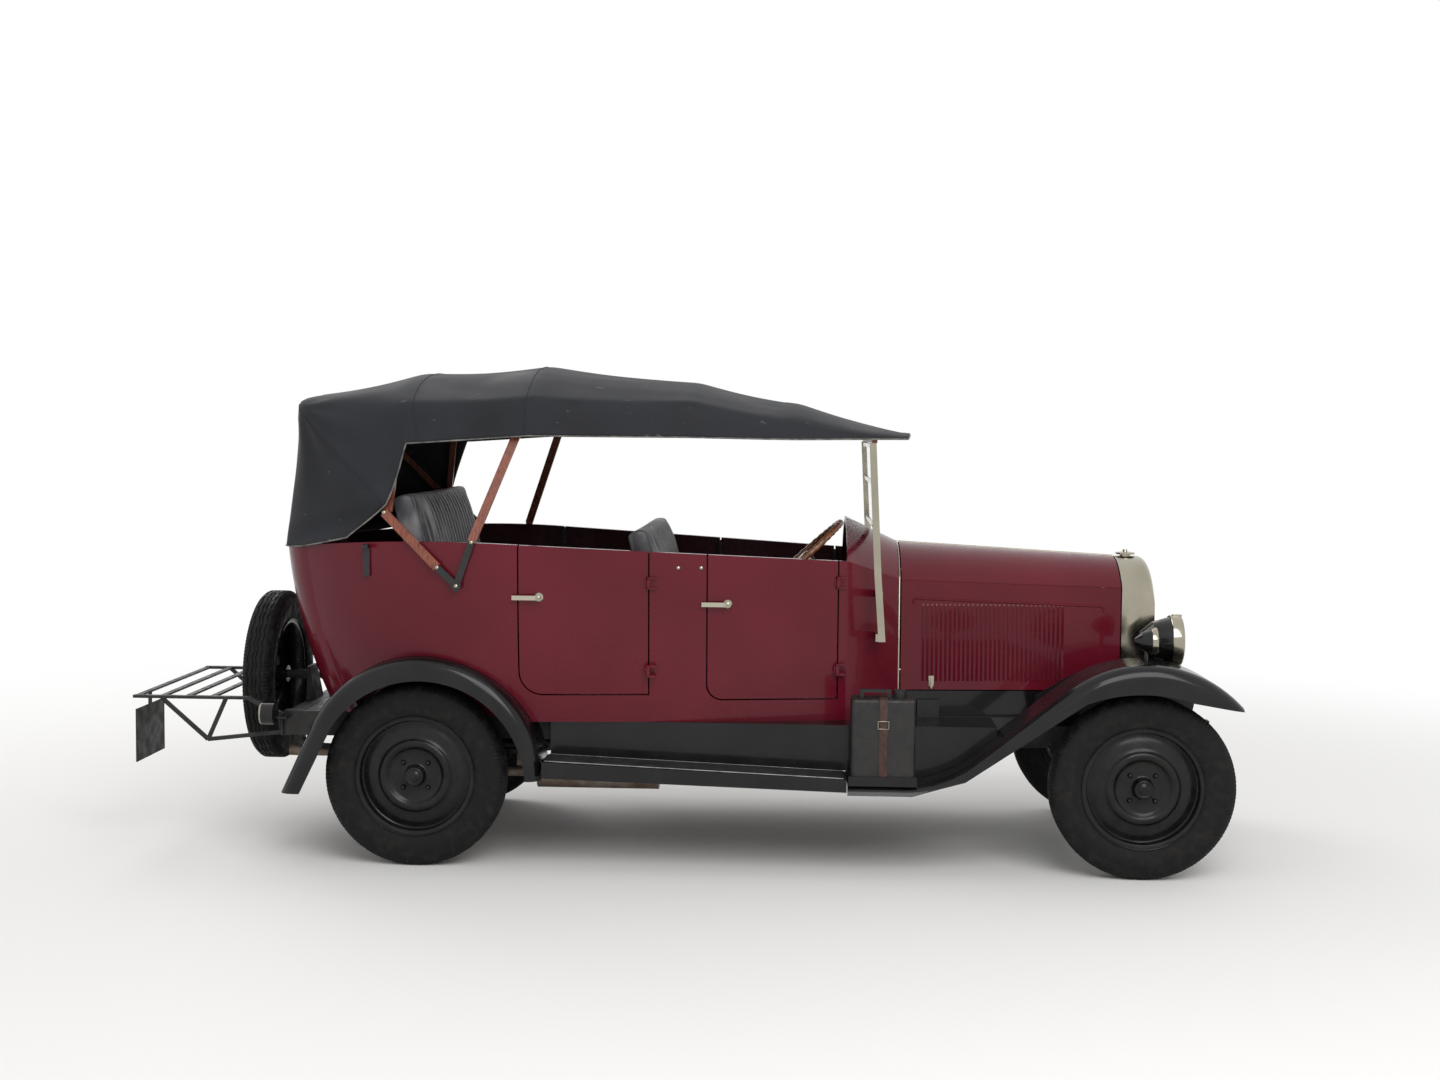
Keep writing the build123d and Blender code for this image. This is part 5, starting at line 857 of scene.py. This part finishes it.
# Tail lamp: a moulded red glass in a plated bezel, screwed to the black drum beside the spare wheel.
# The glass shines softly over small ripples of darker red.
red_glass = material_of("red lamp glass", Roughness=0.12, Coat_Weight=1.0, Coat_Roughness=0.03)
red_rings = speckle(red_glass, 8, 2)
feed(red_glass, "Base Color", between(red_glass, red_rings, "#6d0a0c", "#9c1416"))
raise_bump(red_glass, red_rings, 0.3)
astern = facing(leftward, -forward, upward, (-1.665, -0.512, 0.578))
tail_dome = ((0.5, 33), (5, 30), (9, 18), (10.5, 0.2))
tail_ring = ((0.3, 45), (4, 45.5), (8, 42), (8, 36), (3, 32.5), (0.3, 33))
put("tail_lamp_glass", *joined((astern, turned_on_y(tail_dome, 32, False))), red_glass)
sharpen(put("tail_lamp_bezel", *joined((astern, turned_on_y(tail_ring, 40))), nickel))

# Radiator core: brass tubes soldered into a block of square cells inside the shell. Each cell is near
# black towards its middle, which is black paint and painted shade for the depth of the open tube, and
# the eye sees bare brass where the paint has worn from the cells' edges.
core_cell_mm = 8
cell_core = material_of("film radiator core", Roughness=0.5)
cell_place = add_node(cell_core.node_tree, "ShaderNodeTexCoord")
cell_flat = add_node(
    cell_core.node_tree, "ShaderNodeMapping", {0: cell_place.outputs["Object"], 3: (0, 1, 1)}
)
cells = add_node(
    cell_core.node_tree,
    "ShaderNodeTexVoronoi",
    {0: cell_flat.outputs[0], "Scale": 1000 / core_cell_mm, "Randomness": 0.0},
    distance="CHEBYCHEV",
)
# Dark cell middles: black paint and painted shade of the open tubes; worn brass at the cells' edges.
feed(cell_core, "Base Color", between(cell_core, cells.outputs[0], "#08080a", "#5b5648", 0.34, 0.5))
raise_bump(cell_core, cells.outputs[0], 3)
finish_nodes(cell_core, "radiator_core")

# Windscreen: two panes of clear plate glass in the plated frame, one above the other. A faint film of
# dust blurs them in patches.
plate_glass = material_of("plate glass", Transmission_Weight=1.0, IOR=1.46)
glass_film = speckle(plate_glass, 180)
feed(plate_glass, "Roughness", between(plate_glass, glass_film, 0.0, 0.05, 0.5, 0.75))
finish_nodes(plate_glass, "windscreen_glass")


# Bead between bonnet and scuttle: a plated strip bent over the joint's arch and down both sides, where
# it hides the webbing that the bonnet shuts on.
def over_arch(x, foot_y, foot_z, side_y, side_z, crown_z, lift):
    """Points over an arched section of the bonnet or scuttle, from its right foot to its left."""
    middle_z = (crown_z**2 - side_y**2 - side_z**2) / (2 * (crown_z - side_z))
    radius = crown_z - middle_z + lift
    reach = math.atan2(side_y, side_z - middle_z)
    crown = []
    for k in range(-arch_steps, arch_steps + 1):
        turn = reach * k / arch_steps
        crown.append((x, radius * math.sin(turn), middle_z + radius * math.cos(turn)))
    share = (foot_z - sill_z) / (side_z - sill_z)
    edge_y = foot_y + share * (side_y - foot_y) + lift
    return [(x, -edge_y, foot_z), *crown, (x, edge_y, foot_z)]


arch_steps, sill_z, bead_radius = 14, 0.58, 0.004
bead_line = over_arch(
    x=0.919, foot_y=0.3305, foot_z=0.60, side_y=0.3015, side_z=1.143, crown_z=1.28, lift=0.0005
)
wire("scuttle_bead", bead_line, bead_radius, nickel)

# Bonnet catches: two plated levers on small plates, riveted near the foot of each side panel, which
# carries them when it folds.
catch_z, catch_places = 0.725, ((1.054, 0.3115), (1.690, 0.2615))
for side, hand in hands.items():
    catches = []
    lever_low, lever_high = (-0.03, 0.008) if hand > 0 else (-0.008, 0.03)
    for catch_x, catch_y in catch_places:
        catch_at = (catch_x, hand * catch_y, catch_z)
        spot = facing(forward, leftward * hand, upward * hand, catch_at)
        catches += [
            (spot, box_mesh((-0.011, 0, -0.022), (0.011, 0.004, 0.022), 1.5)),
            (spot, turned_on_y(((3, 6), (12, 5), (13, 0.2)), 16, False)),
            (spot, box_mesh((-0.005, 0.011, lever_low), (0.005, 0.016, lever_high), 2)),
        ]
    sharpen(put(f"bonnet_catches_{side}", *joined(*catches), nickel, f"bonnet_side_{side}"))

# Door levers: each stands on a short neck over a round plate, screwed to the door's skin, and is plated
# with nickel like the rest of the bright work.
for row, (handle_x, handle_y, handle_z) in handle_places.items():
    for side, hand in hands.items():
        spot = facing(forward * hand, leftward * hand, upward, (handle_x, hand * handle_y, handle_z))
        plate = turned_on_y(((-2, 19), (4, 18.5), (7, 15.5), (8, 9), (25, 8.6)), 32, False)
        knob = turned_on_y(((25, 10.5), (36.5, 10), (38, 7), (38.3, 0.2)), 24, False)
        neck = joined((spot, plate), (spot, knob))
        sharpen(put(f"door_{row}_lever_{side}", *neck, nickel, f"door_{row}_{side}"))

# Studs and pins: plated press studs for side curtains on the pillars, and domed pins that join the
# hood's sticks and irons.
dome_outline = ((-2, 8.5), (2, 8.5), (4.5, 6), (6, 0.2))
dome_places = (
    # x, distance from the middle, z: two studs, then four pins
    (0.030, 0.6015, 1.200), (0.120, 0.586, 1.200), (-0.829, 0.7425, 1.129), (-0.770, 0.737, 1.300),
    (-0.905, 0.737, 1.200), (-1.126, 0.683, 1.410),
)
domes = []
for hand in hands.values():
    for dome_x, dome_y, dome_z in dome_places:
        spot = facing(forward * hand, leftward * hand, upward, (dome_x, hand * dome_y, dome_z))
        domes.append((spot, turned_on_y(dome_outline, 20, False)))
put("studs_and_pins", *joined(*domes), nickel)

# Steering wheel: a bent walnut rim with finger grips, screwed to four plated spokes and a turned boss.
# Oil gives the wood a low gloss over its lengthwise grain.
wheel_wood = material_of("oiled walnut rim", Coat_Weight=0.3, Coat_Roughness=0.2)
wheel_grain = speckle(wheel_wood, 9, 4, (1, 1, 0.2))
feed(wheel_wood, "Base Color", between(wheel_wood, wheel_grain, "#4a2512", "#7c4a28"))
feed(wheel_wood, "Roughness", between(wheel_wood, wheel_grain, 0.3, 0.5))
raise_bump(wheel_wood, wheel_grain, 0.1)
column_axis = Vector((-0.68, 0, 0.733)).normalized()
wheel_middle = (0.525, -0.225, 1.228)
at_wheel = facing(column_axis.cross(leftward), column_axis, leftward, wheel_middle)
rim_radius, tube_radius, grip_swell, grips = 0.205, 0.0125, 0.0012, 36
rim_points, grip_steps, tube_steps = [], 144, 12
for i in range(grip_steps):
    turn = 2 * math.pi * i / grip_steps
    tube = tube_radius + grip_swell * math.cos(turn * grips)
    for j in range(tube_steps):
        round_tube = 2 * math.pi * j / tube_steps
        reach = rim_radius + tube * math.cos(round_tube)
        rim_points.append((reach * math.sin(turn), tube * math.sin(round_tube), reach * math.cos(turn)))
rim_ring = joined((at_wheel, (rim_points, grid_faces(grip_steps, tube_steps))))
wheel_rim = put("steering_rim", *rim_ring, wheel_wood, "steering_wheel")
boss_outline = ((-40, 27), (2, 28), (6, 24), (9, 12), (10, 0.2), (-40, 0.2))
spoke_low, spoke_high = (0.02, -0.0085, -0.010), (0.197, -0.001, 0.010)
spokes = [(at_wheel, turned_on_y(boss_outline, 40))]
for i in range(4):
    turned = at_wheel @ Matrix.Rotation(math.pi / 2 * i, 4, "Y")
    spokes.append((turned, box_mesh(spoke_low, spoke_high, 3)))
wheel_spokes = sharpen(put("steering_spokes", *joined(*spokes), nickel, "steering_wheel"))
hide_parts("steering_wheel")
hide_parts("steering_wheel")

# Dash: a polished walnut board with a clear gloss, screwed under the scuttle, and three round
# instruments let into it; their black faces are left blank.
dash_wood = mottled(
    "polished walnut", ("#3a1f10", "#5c3520"), 30, (0.18, 0.3), 3, 0.05,
    Coat_Weight=0.5, Coat_Roughness=0.08,
)
finish_nodes(dash_wood, "dash_panel")
dial_face = mottled(
    "blank black dial", ("#101011", "#18181a"), 20, (0.2, 0.3), 2, 0.01, Coat_Weight=0.8
)
dash_face, dial_z = 0.7225, 1.195
bezels, dials = [], []
# The distance from the middle in metres and the radius in millimetres of each instrument.
for dial_y, dial_r in ((-0.02, 42), (0.11, 30), (0.20, 30)):
    spot = facing(leftward, -forward, upward, (dash_face, dial_y, dial_z))
    ring = ((0, dial_r + 4), (5, dial_r + 3), (8, dial_r), (7, dial_r - 3), (0, dial_r - 3))
    face = ((1, dial_r - 2.9), (4, dial_r - 3.2), (4, 0.2))
    bezels.append((spot, turned_on_y(ring, 40)))
    dials.append((spot, turned_on_y(face, 40, False)))
put("dial_bezels", *joined(*bezels), nickel)
sharpen(put("dial_faces", *joined(*dials), dial_face))

# Door welts: dull black rubber strips that stop draught, glued to the pillars just inside each door's
# gap. Each lies on the tub's inner face, found at each step from the cabin's middle.
welt_rubber = mottled("door welt rubber", ("#161012", "#241a1c"), 30, (0.6, 0.8), 3, 0.05)
welt_foot, welt_step, welt_steps = 0.72, 0.0145, 41
welt_half, welt_thick, welt_sunk, pillar_in = 0.014, 0.002, 0.0015, 0.012
tub = nodes["body_tub"]
to_tub = tub.matrix_world.inverted()
welt_parts = []
for edge_x, clear in ((0.670, 1), (0.141, -1), (-0.081, 1), (-0.596, -1)):
    for hand in hands.values():
        strip = []
        for k in range(welt_steps):
            z = welt_foot + k * welt_step
            origin = to_tub @ Vector((edge_x + clear * pillar_in, 0, z))
            hit, spot, _, _ = tub.ray_cast(origin, Vector((0, hand, 0)))
            if hit:
                strip.append((abs((tub.matrix_world @ spot).y) - welt_sunk, z))
        points = [
            (edge_x + dx, hand * (y - drop), z)
            for y, z in strip
            for dx in (-welt_half, welt_half)
            for drop in (0, welt_thick)
        ]
        faces = [
            tuple(4 * k + corner for corner in side)
            for k in range(len(strip) - 1)
            for side in ((0, 2, 6, 4), (1, 3, 7, 5), (0, 1, 5, 4), (2, 3, 7, 6))
        ]
        if faces:
            welt_parts.append((here, (points, faces)))
put("door_welts", *joined(*welt_parts), welt_rubber)

# Running boards: steel pressings bolted to the frame, each under a dull ribbed rubber mat that worn
# aluminium strips hold down. The ribs are drawn broader than the real ones, so that they show.
mat_rib_mm = 69.12
board_rubber = mottled("ribbed board rubber", ("#121213", "#242322"), 70, (0.5, 0.75), 3, 0.05)
raise_bump(board_rubber, bands(board_rubber, mat_rib_mm, "Y"), 2.5)
finish_nodes(black_enamel, "running_boards")
low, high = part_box("running_boards")
edge_alloy = mottled(
    "worn aluminium strip", ("#9a9a98", "#77777a"), 40, (0.3, 0.5), 3, 0.05, Metallic=1.0
)
mat_faces = [(0, 1, 3, 2), (4, 5, 7, 6), (0, 1, 5, 4), (2, 3, 7, 6), (0, 2, 6, 4), (1, 3, 7, 5)]
# x and z of a board's top near its two ends, then the mat's underside and face over that, and its edges.
board_ends = ((low.x + 0.01, 0.4446), (high.x - 0.012, 0.3966))
mat_rises, mat_edges, strip_radius, strip_rise = (0.0003, 0.0035), (0.594, 0.745), 0.0028, 0.002
for side, hand in hands.items():
    corners = [
        (x, hand * y, z + rise) for rise in mat_rises for x, z in board_ends for y in mat_edges
    ]
    put(f"board_mat_{side}", corners, mat_faces, board_rubber, smooth=False)
    for k, strip_y in enumerate((0.748, 0.591)):
        strip_line = [(x, hand * strip_y, z + strip_rise) for x, z in board_ends]
        wire(f"board_strip_{side}_{k}", strip_line, strip_radius, edge_alloy)

# Can: pressed tinplate, painted a matt brownish black, held down in its tray by a leather strap with a
# plated buckle. Oil has turned the strap a dark brown with a dull sheen.
can_black = mottled("dull black can paint", ("#0d0d0e", "#1b1917"), 45, (0.4, 0.62), 3, 0.06)
finish_nodes(can_black, "petrol_can")
strap_hide = mottled("oiled strap leather", ("#2a1510", "#43241a"), 25, (0.45, 0.65), 2, 0.15)
strap_x, strap_half = 0.8415, 0.016
strap_parts = (
    # y and z of two corners: down the can's outer face, over its top, down its inner face
    ((-0.7436, 0.388), (-0.7403, 0.7114)),
    ((-0.7436, 0.7084), (-0.5985, 0.7116)),
    ((-0.6017, 0.412), (-0.5985, 0.7114)),
)
strap = [
    (here, box_mesh((strap_x - strap_half, *low), (strap_x + strap_half, *high), 1))
    for low, high in strap_parts
]
sharpen(put("can_strap", *joined(*strap), strap_hide))
buckle_half, buckle_rise, buckle_y, buckle_z, buckle_wire = 0.021, 0.015, -0.7455, 0.610, 0.0022
buckle = [
    (strap_x + across * buckle_half, buckle_y, buckle_z + up * buckle_rise)
    for across, up in ((-1, -1), (1, -1), (1, 1), (-1, 1))
]
wire("can_buckle", buckle, buckle_wire, nickel, closed=True)
